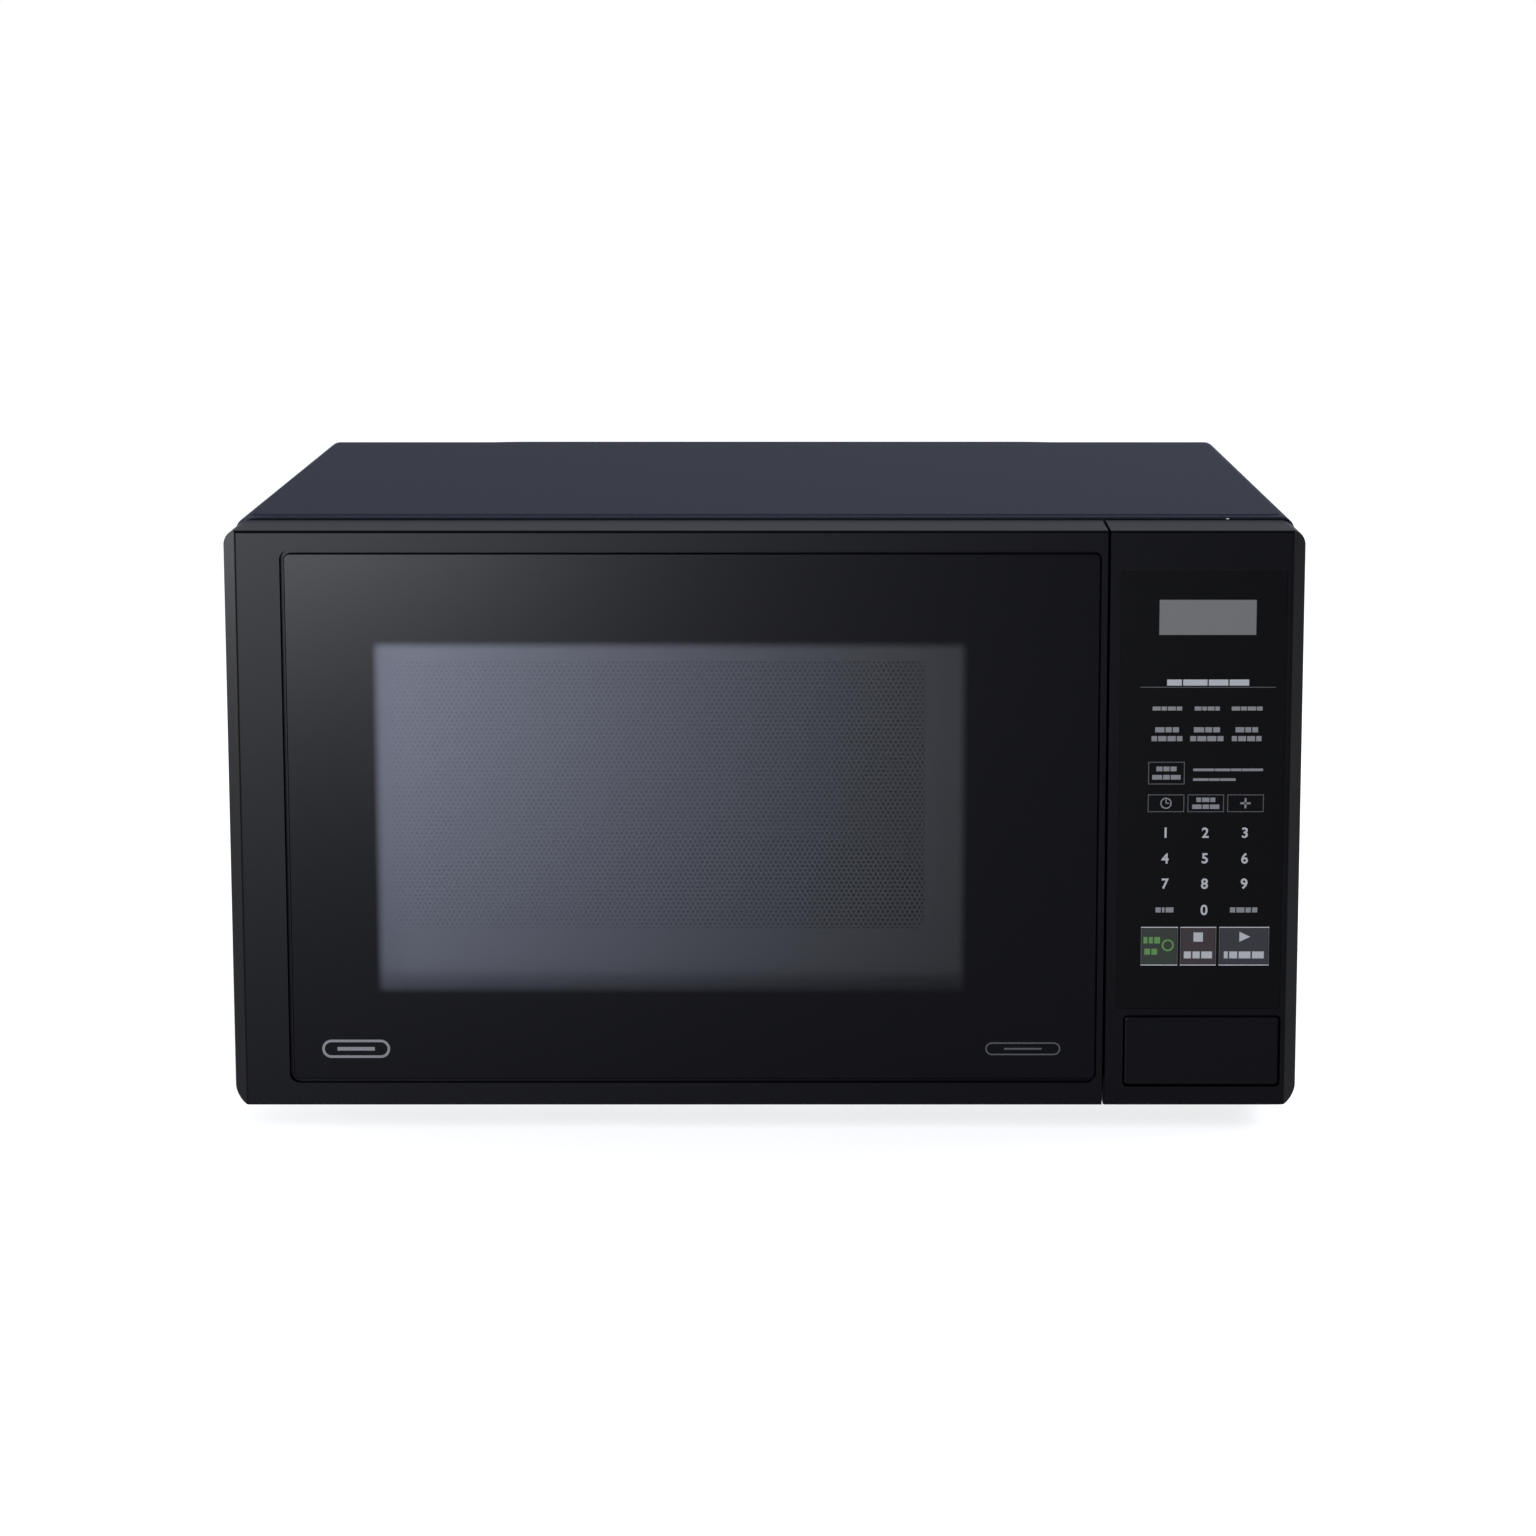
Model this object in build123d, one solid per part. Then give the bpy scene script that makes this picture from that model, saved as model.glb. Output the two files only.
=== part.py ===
from build123d import *
import math
import os

# Microwave oven, millimetres. Origin: middle of the footprint, on the surface that the feet stand on.
# +X is the user's right, +Y points to the back, +Z is up. The door hinges on the left.

# ---- overall ----
WIDTH = 455.0
HEIGHT = 260.0
DEPTH = 330.0
FOOT_H = 10.0
SHEET = 0.8  # steel sheet of case, base, back, cavity and waveguide
FIT = 0.3  # gap between a sheet and the one that it slides into
WALL = 2.5  # moulded wall

# ---- front: door and control panel ----
FRONT_T = 34.0  # door face to front plate
DOOR_GAP = 1.0  # back of the door to front plate
PANEL_W = 82.4
SPLIT_GAP = 1.2  # between door and control panel
GAP_RIB = 0.6  # panel's rib that narrows the gap at its foot
GAP_RIB_H = 12.0
PANEL_SEAT = 7.0  # front plate reaches this far behind the control panel
FRONT_WALL = 5.0  # door face, thick enough for the window pocket and its ledge
CORNER_R = 8.0  # corners of the front as seen by the user
BEVEL_W = 6.0  # outer edges of the front, across the face
BEVEL_D = 7.0  # and back from the face
BEVEL_SOFT = 1.5
SOFT_OVER = 0.1  # the side's rounding is drawn this much outside the face
TOP_DROP = 0.5  # the front's top surface falls towards the user
TOP_STEP = 1.5  # front's back edge below the raised field

# ---- case, back and base ----
CASE_INSET = 1.0  # case side inside the front's side
CASE_R = 6.0
CASE_LIP = 9.0  # turned-in back edge
EMBOSS_H = 0.5  # raised field on the top
EMBOSS_EDGE = 5.0
EMBOSS_REAR = 2.0
EMBOSS_R = 100.0
STANDOFF_H = 6.0  # wall spacers behind the case
STANDOFF_R = 9.0
FLANGE = 12.0  # turned-up edges of the base
VENT_L = 18.0
VENT_W = 3.0
VENT_PITCH = 6.5
SCREW_R = 1.75
SCREW_HOLE_R = 1.9
SCREW_HEAD_R = 3.8
SCREW_HEAD_H = 2.2
SCREW_L = 6.0
FOOT_R = 11.0
FOOT_PIN_R = 3.0
FOOT_IN_X = 38.0
FOOT_IN_Y = 34.0

# ---- cavity ----
CAVITY_LEFT = 28.5  # inner left wall from the oven's left side
LATCH_SIDE = 38.1  # inner right wall to the control panel's left side
CAVITY_UNDER = 26.0  # cavity floor above the underside of the base
CAVITY_OVER = 16.0  # cavity ceiling below the case top
CAVITY_BEHIND = 10.0  # cavity back wall to the case's back edge
CAVITY_R = 8.0
PLATEAU_R = 60.0
PLATEAU_H = 2.0
SHAFT_HOLE_R = 6.0

# ---- turntable ----
TRAY_GAP = 17.5  # tray rim to the nearest cavity wall
TRAY_T = 4.2
TRAY_RIM_H = 14.0
TRAY_RIM_W = 18.5
ROLLER_R = 6.9
ROLLER_W = 7.0
ROLL_GAP = 0.1  # roller to floor, and roller to tray
ROLLER_IN = 31.0  # roller middle inside the tray's rim
AXLE_R = 2.0
AXLE_FIT = 0.05
RING_W = 6.0
RING_T = 4.0
COUPLER_HUB_R = 9.0
COUPLER_ARM_R = 24.0
COUPLER_ARM_W = 8.0
COUPLER_GAP = 0.8  # under the tray and over the floor
MOTOR_R = 24.5
MOTOR_H = 18.0
MOTOR_SHAFT_R = 3.0

# ---- door ----
HINGE_IN = 9.5  # hinge axis from the door's left side
HINGE_BACK = 15.0  # hinge axis in front of the front plate
HINGE_ROUND = 9.0  # back left edge of the door
HINGE_PIN_R = 3.0
HINGE_FIT = 0.05
HINGE_BOSS_R = 5.5
HINGE_PIN_L = 13.5
HINGE_TAB_T = 1.5
HINGE_TAB_HALF = 6.0
HINGE_LOW = 8.0  # lower tab above the door's lower edge
HINGE_HIGH = 10.0  # upper tab below the oven's top
HINGE_OPEN = 105.0
GLASS_LEFT = 24.4  # front window's recess from the door's left side
GLASS_RIGHT = 2.6
GLASS_LOW = 9.9
GLASS_HIGH = 10.0
GLASS_T = 2.6
GLASS_R = 2.5
POCKET_D = 3.0
GROOVE = 1.7
LEDGE = 6.0
PAN_OVER = 12.0  # metal door beyond the cavity opening, left, top and bottom
PAN_OVER_RIGHT = 18.0
PAN_D = 22.0
PAN_REAR = 1.6  # metal door's back face inside the door's back face
SCREEN_BACK = 24.0  # perforated screen behind the door face
SCREEN_IN_X = 38.5  # screen inside the cavity opening, left and right
SCREEN_IN_Z = 45.5
SCREEN_T = 0.5
RECESS_IN = 10.0  # recess of the metal door inside the cavity opening
FILM_T = 1.0
COVER_T = 1.5
COVER_IN = 2.0  # choke cover's opening inside the cavity opening

# ---- latch ----
LATCH_W = 6.0
LATCH_IN = 6.9  # latch bar from the door's right side
LATCH_TRAVEL = 4.5
HOOK_LOW = 62.0
HOOK_DOWN = 55.0  # upper hook below the oven's top
HOOK_H = 7.0
HOOK_NOSE = 5.0
HOOK_REACH = 23.0  # hook's tip behind the front plate
HOOK_NOSE_L = 6.0
HOOK_GAP = 1.0
LEVER_ARM = 18.0  # button's push below the lever's axle
POST_HALF = 1.5
LEVER_Z = 46.0
LEVER_BACK = 9.0  # lever's axle behind the front plate
LEVER_R = 2.5
LEVER_REACH = 14.0
LIFT_GAP = 0.3  # lever's finger to the hook's nose, and button's post to the lever
LEVER_FIT = 0.05
BUTTON_TRAVEL = 5.0
SWITCH_L = 28.0
SWITCH_H = 16.0
SWITCH_W = 9.8
PLUNGER_W = 2.0
PLUNGER_H = 4.0
PLUNGER_OUT = 2.6
PLUNGER_L = 7.0
PLUNGER_FIT = 0.15
PLUNGER_TRAVEL = 1.0
TOUCH_GAP = 0.4

# ---- control panel ----
KEYS_LEFT = 4.5  # membrane from the panel's left side
KEYS_RIGHT = 8.3
KEYS_LOW = 42.7
KEYS_HIGH = 19.3
KEYS_T = 0.6
KEYS_RECESS = 0.8
DISPLAY_W = 40.7
DISPLAY_H = 14.9
DISPLAY_DOWN = 26.8  # display's lower edge below the membrane's top
DISPLAY_OFF = 1.7  # display's middle to the right of the membrane's
LENS_FIT = 0.15
BUTTON_LOW = 8.8
BUTTON_W = 66.0
BUTTON_H = 30.2
BUTTON_GAP = 0.6
BUTTON_D = 12.0
BUTTON_SINK = 0.4
BOARD_T = 1.6
BOARD_BACK = 17.0
SPRING_R = 4.0
SPRING_WIRE = 0.5

# ---- component bay ----
GUIDE_D = 30.0  # waveguide's depth
PORT_W = 44.0
PORT_H = 60.0
MICA_OVER = 12.0
MICA_T = 0.6
PORT_AHEAD = 65.0  # port in front of the antenna
MAG_BACK = 156.0  # antenna behind the front plate
MAG_DOWN = 65.0  # antenna below the oven's top
YOKE_L = 50.0
YOKE_W = 90.0
YOKE_H = 75.0
YOKE_T = 1.5
MAGNET_R = 27.0
MAGNET_T = 12.0
ANODE_R = 18.0
NECK_R = 14.5
ANTENNA_R = 7.5
FIN_T = 0.6
FIN_COUNT = 6
FILTER_D = 26.0
FAN_R = 37.0
FAN_TIP_GAP = 2.0
SHROUD_RIM = 5.0  # shroud's plate beyond its bore
LAMP_HALF = 18.0
LAMP_UNDER = 12.0  # lamp holder below the shroud
FAN_HUB_R = 12.0
FAN_T = 16.0
FAN_BLADES = 5
FAN_SHAFT_R = 2.0
STATOR_T = 16.0
ROTOR_R = 12.0
ROTOR_FIT = 0.5
CORE_L = 86.0
CORE_W = 60.0
CORE_H = 72.0
CAP_W = 52.0
CAP_H = 32.0
CAP_L = 90.0
GLAND_BORE_R = 4.25
GLAND_R = 8.0
GLAND_L = 9.0

# ---- places worked out from the sizes ----
X_LEFT = -WIDTH / 2
X_RIGHT = WIDTH / 2
Y_FRONT = -DEPTH / 2
Y_REAR = DEPTH / 2
Z_BODY = FOOT_H
PLATE_Y = Y_FRONT + FRONT_T  # front plate's face
PLATE_BACK = PLATE_Y + SHEET
DOOR_BACK = PLATE_Y - DOOR_GAP
X_SPLIT = X_RIGHT - PANEL_W
DOOR_RIGHT = X_SPLIT - SPLIT_GAP
FRONT_TOP = HEIGHT - TOP_STEP
CASE_X = WIDTH / 2 - CASE_INSET
CASE_TOP = HEIGHT - EMBOSS_H
CASE_REAR = Y_REAR - STANDOFF_H
CASE_IN_X = CASE_X - SHEET
CASE_IN_TOP = CASE_TOP - SHEET
SEAT_X = CASE_IN_X - FIT  # half width of what slides into the case
SEAT_TOP = CASE_IN_TOP - FIT
BACK_OUT = CASE_REAR - SHEET
BACK_IN = BACK_OUT - SHEET
BASE_TOP = Z_BODY + SHEET
CAV_X = (X_LEFT + CAVITY_LEFT, X_SPLIT - LATCH_SIDE)
CAV_Y = (PLATE_BACK, CASE_REAR - CAVITY_BEHIND)
CAV_Z = (Z_BODY + CAVITY_UNDER, HEIGHT - CAVITY_OVER)
CAV_MID_X = sum(CAV_X) / 2
CAV_MID_Y = (PLATE_Y + CAV_Y[1]) / 2
TRAY_R = min(CAV_X[1] - CAV_X[0], CAV_Y[1] - PLATE_Y) / 2 - TRAY_GAP
AXLE_Z = CAV_Z[0] + ROLL_GAP + ROLLER_R
TRAY_Z = AXLE_Z + ROLLER_R + ROLL_GAP
ROLLER_AT = TRAY_R - ROLLER_IN
RING_OUT = ROLLER_AT - ROLLER_W / 2 - 1.5
PLATEAU_TOP = CAV_Z[0] + PLATEAU_H
HINGE_X = X_LEFT + HINGE_IN
HINGE_Y = PLATE_Y - HINGE_BACK
TAB_LOW = (Z_BODY + HINGE_LOW, Z_BODY + HINGE_LOW + HINGE_TAB_T)
TAB_HIGH = (HEIGHT - HINGE_HIGH, HEIGHT - HINGE_HIGH + HINGE_TAB_T)
GLASS_X = (X_LEFT + GLASS_LEFT, DOOR_RIGHT - GLASS_RIGHT)
GLASS_Z = (Z_BODY + GLASS_LOW, HEIGHT - GLASS_HIGH)
PAN_X = (CAV_X[0] - PAN_OVER, CAV_X[1] + PAN_OVER_RIGHT)
PAN_Z = (CAV_Z[0] - PAN_OVER, CAV_Z[1] + PAN_OVER - 2.0)
PAN_Y = (DOOR_BACK - PAN_D, DOOR_BACK - PAN_REAR)
SCREEN_Y = Y_FRONT + SCREEN_BACK
SCREEN_X = (CAV_X[0] + SCREEN_IN_X, CAV_X[1] - SCREEN_IN_X)
SCREEN_Z = (CAV_Z[0] + SCREEN_IN_Z, CAV_Z[1] - SCREEN_IN_Z)
RECESS_X = (CAV_X[0] + RECESS_IN, CAV_X[1] - RECESS_IN)
RECESS_Z = (CAV_Z[0] + RECESS_IN, CAV_Z[1] - RECESS_IN)
LATCH_X = (DOOR_RIGHT - LATCH_IN - LATCH_W, DOOR_RIGHT - LATCH_IN)
HOOK_TIP = PLATE_Y + HOOK_REACH
HOOK_Z = (HOOK_LOW, HEIGHT - HOOK_DOWN)
LATCH_Y = (PAN_Y[0] - 2.0, PAN_Y[0] + 4.0)
LEVER_Y = PLATE_Y + LEVER_BACK
KEYS_X = (X_SPLIT + KEYS_LEFT, X_RIGHT - KEYS_RIGHT)
KEYS_Z = (Z_BODY + KEYS_LOW, HEIGHT - KEYS_HIGH)
DISPLAY_MID = sum(KEYS_X) / 2 + DISPLAY_OFF
DISPLAY_X = (DISPLAY_MID - DISPLAY_W / 2, DISPLAY_MID + DISPLAY_W / 2)
DISPLAY_Z = (KEYS_Z[1] - DISPLAY_DOWN, KEYS_Z[1] - DISPLAY_DOWN + DISPLAY_H)
BUTTON_X = (X_SPLIT + 8.1, X_SPLIT + 8.1 + BUTTON_W)
BUTTON_Z = (Z_BODY + BUTTON_LOW, Z_BODY + BUTTON_LOW + BUTTON_H)
BOARD_Y = Y_FRONT + BOARD_BACK
BAY_X = (CAV_X[1] + SHEET, SEAT_X)
GUIDE_X = BAY_X[0] + GUIDE_D
MAG_Y = PLATE_Y + MAG_BACK
MAG_Z = HEIGHT - MAG_DOWN
YOKE_X = (GUIDE_X, GUIDE_X + YOKE_L)
FAN_X = BAY_X[1] - FAN_R - 12.0
FAN_Z = MAG_Z
FAN_Y = BACK_IN - STATOR_T - FAN_T - 13.0


# ---- small helpers ----
def block(x, y, z):
    """A box from (low, high) pairs."""
    middle = Pos((x[0] + x[1]) / 2, (y[0] + y[1]) / 2, (z[0] + z[1]) / 2)
    return middle * Box(x[1] - x[0], y[1] - y[0], z[1] - z[0])


def rod_x(x, y, z, radius):
    return Pos((x[0] + x[1]) / 2, y, z) * Rot(0, 90, 0) * Cylinder(radius, x[1] - x[0])


def rod_y(x, y, z, radius):
    return Pos(x, (y[0] + y[1]) / 2, z) * Rot(90, 0, 0) * Cylinder(radius, y[1] - y[0])


def rod_z(x, y, z, radius):
    return Pos(x, y, (z[0] + z[1]) / 2) * Cylinder(radius, z[1] - z[0])


def rectangle(u, v, radius=0.0):
    """A rectangle from (low, high) pairs, with round corners."""
    size = (u[1] - u[0], v[1] - v[0])
    shape = RectangleRounded(*size, radius) if radius else Rectangle(*size)
    return Pos((u[0] + u[1]) / 2, (v[0] + v[1]) / 2) * shape


def thick_x(sketch, x):
    """A sketch drawn in Y and Z, thick along X."""
    return extrude(Plane.YZ.offset(x[0]) * sketch, amount=x[1] - x[0])


def thick_y(sketch, y):
    """A sketch drawn in X and Z, thick along Y."""
    return extrude(Plane.XZ.offset(-y[1]) * sketch, amount=y[1] - y[0])


def thick_z(sketch, z):
    """A sketch drawn in X and Y, thick along Z."""
    return extrude(Plane.XY.offset(z[0]) * sketch, amount=z[1] - z[0])


def polygon(*points):
    return make_face(Polyline(*points, close=True))


def grow(pair, by):
    return (pair[0] - by, pair[1] + by)


def slots(thicken, through, middle, columns, rows, length, width, pitch, gap=6.0):
    """A grid of rounded slots, long along the sketch's first axis, cut through the span 'through'."""
    found = []
    for column in range(columns):
        for row in range(rows):
            u = middle[0] + (column - (columns - 1) / 2) * (length + gap)
            v = middle[1] + (row - (rows - 1) / 2) * pitch
            found.append(thicken(Pos(u, v) * SlotOverall(length, width), through))
    return found


def holes(thicken, through, middle, columns, rows, radius, pitch):
    """A grid of round holes."""
    found = []
    for column in range(columns):
        for row in range(rows):
            u = middle[0] + (column - (columns - 1) / 2) * pitch
            v = middle[1] + (row - (rows - 1) / 2) * pitch
            found.append(thicken(Pos(u, v) * Circle(radius), through))
    return found


# ---- case, back, base, feet ----
def emboss_outline(inset):
    """The raised field on the top: square at the front, widely rounded at the back."""
    x = CASE_X - EMBOSS_EDGE - inset
    y = (PLATE_Y + EMBOSS_EDGE + inset, CASE_REAR - EMBOSS_REAR - inset)
    face = rectangle((-x, x), y)
    back = face.vertices().sort_by(Axis.Y)[-2:]
    radius = min(EMBOSS_R, 0.4 * (y[1] - y[0])) - inset
    face = fillet(back, radius)
    front = face.vertices().sort_by(Axis.Y)[:2]
    return fillet(front, CASE_R)


def case_profile(inset, top, below):
    """The case seen from the front: two sides and a top with bent corners."""
    face = rectangle((-CASE_X + inset, CASE_X - inset), (Z_BODY - below, top - inset))
    return fillet(face.vertices().sort_by(Axis.Y)[-2:], CASE_R - inset)


def back_screw_places():
    x = CASE_X - CASE_LIP / 2 - 0.3
    low = Z_BODY + 0.2 * (CASE_TOP - Z_BODY)
    high = CASE_TOP - 0.2 * (CASE_TOP - Z_BODY)
    return [(side * x, z) for side in (-1, 1) for z in (low, high)]


def outer_case():
    shell = thick_y(case_profile(0, CASE_TOP, 0), (PLATE_Y, CASE_REAR))
    shell -= thick_y(case_profile(SHEET, CASE_TOP, 5), (PLATE_Y - 1, CASE_REAR - SHEET))
    window = rectangle((-CASE_X + CASE_LIP, CASE_X - CASE_LIP), (Z_BODY - 5, CASE_TOP - CASE_LIP))
    shell -= thick_y(window, (CASE_REAR - 2 * SHEET, CASE_REAR + 1))
    field = thick_z(emboss_outline(0), (CASE_TOP - SHEET / 2, HEIGHT))
    field = fillet(field.faces().sort_by(Axis.Z)[-1].edges(), EMBOSS_H * 0.7)
    shell += field
    shell -= thick_z(emboss_outline(1.5 * SHEET), (CASE_TOP - 2 * SHEET, HEIGHT - SHEET))
    across = (-CASE_X - 1, -CASE_X + 2)
    shell -= slots(thick_x, across, (CASE_REAR - 60, HEIGHT - 60), 3, 9, VENT_L, VENT_W, VENT_PITCH)
    across = (CASE_X - 2, CASE_X + 1)
    shell -= slots(thick_x, across, (CASE_REAR - 60, HEIGHT - 65), 3, 11, VENT_L, VENT_W, VENT_PITCH)
    shell -= slots(thick_x, across, (PLATE_Y + 80, Z_BODY + 45), 3, 6, VENT_L, VENT_W, VENT_PITCH)
    shell -= [rod_y(x, (BACK_OUT - 1, CASE_REAR + 1), z, SCREW_HOLE_R) for x, z in back_screw_places()]
    return shell


GLAND_X = X_RIGHT - 50.0
GLAND_Z = Z_BODY + 42.0


def standoff_places():
    return [(side * WIDTH * 0.28, HEIGHT - 42.0) for side in (-1, 1)]


def back_plate():
    face = rectangle((-SEAT_X, SEAT_X), (Z_BODY, SEAT_TOP))
    face = fillet(face.vertices().sort_by(Axis.Y)[-2:], CASE_R - SHEET - FIT)
    plate = thick_y(face, (BACK_IN, BACK_OUT))
    for x, z in standoff_places():
        cup = rod_y(x, (BACK_IN, Y_REAR), z, STANDOFF_R)
        plate += fillet(cup.faces().sort_by(Axis.Y)[-1].edges(), 2.5)
        plate -= rod_y(x, (BACK_IN - 1, Y_REAR - SHEET), z, STANDOFF_R - 2.5)
    through = (BACK_IN - 1, BACK_OUT + 1)
    plate -= slots(thick_y, through, (FAN_X, FAN_Z - 6), 3, 9, VENT_L, VENT_W, VENT_PITCH)
    plate -= slots(thick_y, through, (CAV_MID_X, Z_BODY + 60), 6, 4, VENT_L, VENT_W, VENT_PITCH)
    plate -= rod_y(GLAND_X, through, GLAND_Z, GLAND_R - 1.0)
    plate -= [rod_y(x, through, z, SCREW_HOLE_R) for x, z in back_screw_places()]
    return plate


def foot_places():
    x = WIDTH / 2 - FOOT_IN_X
    front = PLATE_Y + FOOT_IN_Y
    rear = CASE_REAR - FOOT_IN_Y
    return [(side * x, y) for side in (-1, 1) for y in (front, rear)]


def base_plate():
    x = (-SEAT_X, SEAT_X)
    y = (PLATE_BACK + FIT, BACK_IN)
    plate = block(x, y, (Z_BODY, BASE_TOP))
    rise = (Z_BODY, Z_BODY + FLANGE)
    plate += block((x[0], x[0] + SHEET), y, rise)
    plate += block((x[1] - SHEET, x[1]), y, rise)
    plate += block(x, (y[1] - SHEET, y[1]), rise)
    plate += block(x, (y[0], y[0] + SHEET), rise)
    hinge_room = (HINGE_X - HINGE_TAB_HALF - 1, HINGE_X + HINGE_TAB_HALF + 10)
    plate -= block(hinge_room, (y[0] - 1, y[0] + 3), (BASE_TOP, rise[1] + 1))
    plate -= [rod_z(fx, fy, (Z_BODY - 1, BASE_TOP + 1), FOOT_PIN_R + 0.1) for fx, fy in foot_places()]
    under = (Z_BODY - 1, BASE_TOP + 1)
    plate -= slots(thick_z, under, (CAV_MID_X, CAV_MID_Y - 75), 6, 4, VENT_L, VENT_W, VENT_PITCH)
    plate -= slots(thick_z, under, (CAV_MID_X, CAV_MID_Y + 75), 6, 4, VENT_L, VENT_W, VENT_PITCH)
    return plate


def feet():
    """Four feet, each a pad with a barbed pin through the base."""
    top = BASE_TOP + 3.0
    outline = polygon(
        (0, 0), (FOOT_R - 1.5, 0), (FOOT_R - 0.5, 1.0), (FOOT_R, Z_BODY - 2), (FOOT_R, Z_BODY),
        (FOOT_PIN_R, Z_BODY), (FOOT_PIN_R, BASE_TOP + 0.1), (FOOT_PIN_R + 0.9, BASE_TOP + 0.1),
        (FOOT_PIN_R - 0.8, top), (0, top),
    )
    foot = revolve(Plane.XZ * outline, Axis.Z)
    return [Pos(x, y, 0) * foot for x, y in foot_places()]


def case_screw():
    """A pan-head sheet screw pointing along -Y, its head's seat at the origin."""
    head = rod_y(0, (0, SCREW_HEAD_H), 0, SCREW_HEAD_R)
    head = fillet(head.faces().sort_by(Axis.Y)[-1].edges(), SCREW_HEAD_H * 0.6)
    head -= block((-2.4, 2.4), (SCREW_HEAD_H - 1.2, SCREW_HEAD_H + 1), (-0.45, 0.45))
    head -= block((-0.45, 0.45), (SCREW_HEAD_H - 1.2, SCREW_HEAD_H + 1), (-2.4, 2.4))
    return head + rod_y(0, (-SCREW_L, 0), 0, SCREW_R)


def hinge_screw_places():
    x = HINGE_X + HINGE_TAB_HALF + 4.5
    low = TAB_LOW[1] + 9.0
    high = TAB_HIGH[0] - 9.0
    return [(x, low), (x, low + 12.0), (x, high), (x, high - 12.0)]


def screws():
    found = [Pos(x, CASE_REAR, z) * case_screw() for x, z in back_screw_places()]
    seat = PLATE_BACK + HINGE_TAB_T
    shank = block((-5, 5), (-SCREW_L - 1, -(seat - PLATE_Y)), (-5, 5))
    short = case_screw() - shank
    found += [Pos(x, seat, z) * short for x, z in hinge_screw_places()]
    return found


def cord_gland():
    """Bush in the back plate for the mains lead, with a groove that grips the sheet."""
    outer = rod_y(GLAND_X, (BACK_IN - 2.0, BACK_IN - 2.0 + GLAND_L), GLAND_Z, GLAND_R)
    outer = fillet(outer.faces().sort_by(Axis.Y)[-1].edges(), 1.5)
    groove = rod_y(GLAND_X, (BACK_IN - 0.05, BACK_OUT + 0.05), GLAND_Z, GLAND_R + 1)
    groove -= rod_y(GLAND_X, (BACK_IN - 0.05, BACK_OUT + 0.05), GLAND_Z, GLAND_R - 1.1)
    return outer - groove - rod_y(GLAND_X, (BACK_IN - 5, Y_REAR + 5), GLAND_Z, GLAND_BORE_R)


# ---- cavity ----
def hook_slot(z, extra):
    """Opening that a hook swings and lifts through, seen from the front."""
    return rectangle((LATCH_X[0] - 1.5 - extra, LATCH_X[1] + 3.5 + extra),
                     (z - HOOK_NOSE - 1.0, z + HOOK_H + LATCH_TRAVEL + 1.0), 1.5)


def front_plate():
    z = (BASE_TOP, SEAT_TOP)
    face = rectangle((-SEAT_X, X_SPLIT + PANEL_SEAT), z)
    left_top = face.vertices().sort_by(Axis.Y)[-2:].sort_by(Axis.X)[:1]
    face = fillet(left_top, CASE_R - SHEET - FIT)
    face -= rectangle(CAV_X, CAV_Z, CAVITY_R)
    for hook in HOOK_Z:
        face -= hook_slot(hook, 0)
    for tab in (TAB_LOW, TAB_HIGH):
        face -= rectangle(grow((HINGE_X - HINGE_TAB_HALF, HINGE_X + HINGE_TAB_HALF), 0.3), grow(tab, 0.3))
    for x, screw_z in hinge_screw_places():
        face -= Pos(x, screw_z) * Circle(SCREW_HOLE_R)
    plate = thick_y(face, (PLATE_Y, PLATE_BACK))
    top_flange = block((-SEAT_X + CASE_R, X_SPLIT + PANEL_SEAT), (PLATE_BACK, PLATE_BACK + FLANGE), (z[1] - SHEET, z[1]))
    return plate + top_flange


def cavity_box(inset, front):
    """The drawn box with round edges; inset is negative outside."""
    x, z = grow(CAV_X, -inset), grow(CAV_Z, -inset)
    box = block(x, (front, CAV_Y[1] - inset), z)
    along = box.edges().filter_by(Axis.Y)
    back = box.faces().sort_by(Axis.Y)[-1].edges()
    return fillet(along + back, CAVITY_R - inset)


PORT_Y = MAG_Y - PORT_AHEAD
PORT_Z = MAG_Z - 5.0
LAMP_Y = CASE_REAR - 50.0
LAMP_Z = FAN_Z - FAN_R - FAN_TIP_GAP - SHROUD_RIM - LAMP_UNDER - LAMP_HALF


def oven_cavity():
    shell = cavity_box(-SHEET, CAV_Y[0])
    inner = cavity_box(0, CAV_Y[0] - 2 * CAVITY_R)
    shell -= inner
    plateau = rod_z(CAV_MID_X, CAV_MID_Y, (CAV_Z[0] - SHEET, PLATEAU_TOP), PLATEAU_R)
    shell += fillet(plateau.faces().sort_by(Axis.Z)[-1].edges(), 1.2)
    shell -= rod_z(CAV_MID_X, CAV_MID_Y, (CAV_Z[0] - SHEET - 1, PLATEAU_TOP - SHEET), PLATEAU_R - SHEET)
    shell -= rod_z(CAV_MID_X, CAV_MID_Y, (CAV_Z[0] - 2, PLATEAU_TOP + 1), SHAFT_HOLE_R)
    right = (CAV_X[1] - 1, CAV_X[1] + SHEET + 1)
    port_y = (PORT_Y - PORT_W / 2, PORT_Y + PORT_W / 2)
    port_z = (PORT_Z - PORT_H / 2, PORT_Z + PORT_H / 2)
    shell -= thick_x(rectangle(port_y, port_z, 2), right)
    shell -= holes(thick_x, right, (LAMP_Y, LAMP_Z), 6, 6, 1.6, 4.6)
    shell -= holes(thick_x, right, (PLATE_Y + 45, CAV_Z[0] + 110), 5, 10, 1.6, 4.6)
    left = (CAV_X[0] - SHEET - 1, CAV_X[0] + 1)
    shell -= holes(thick_x, left, (CASE_REAR - 60, HEIGHT - 60), 12, 6, 1.6, 4.6)
    return shell


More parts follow.
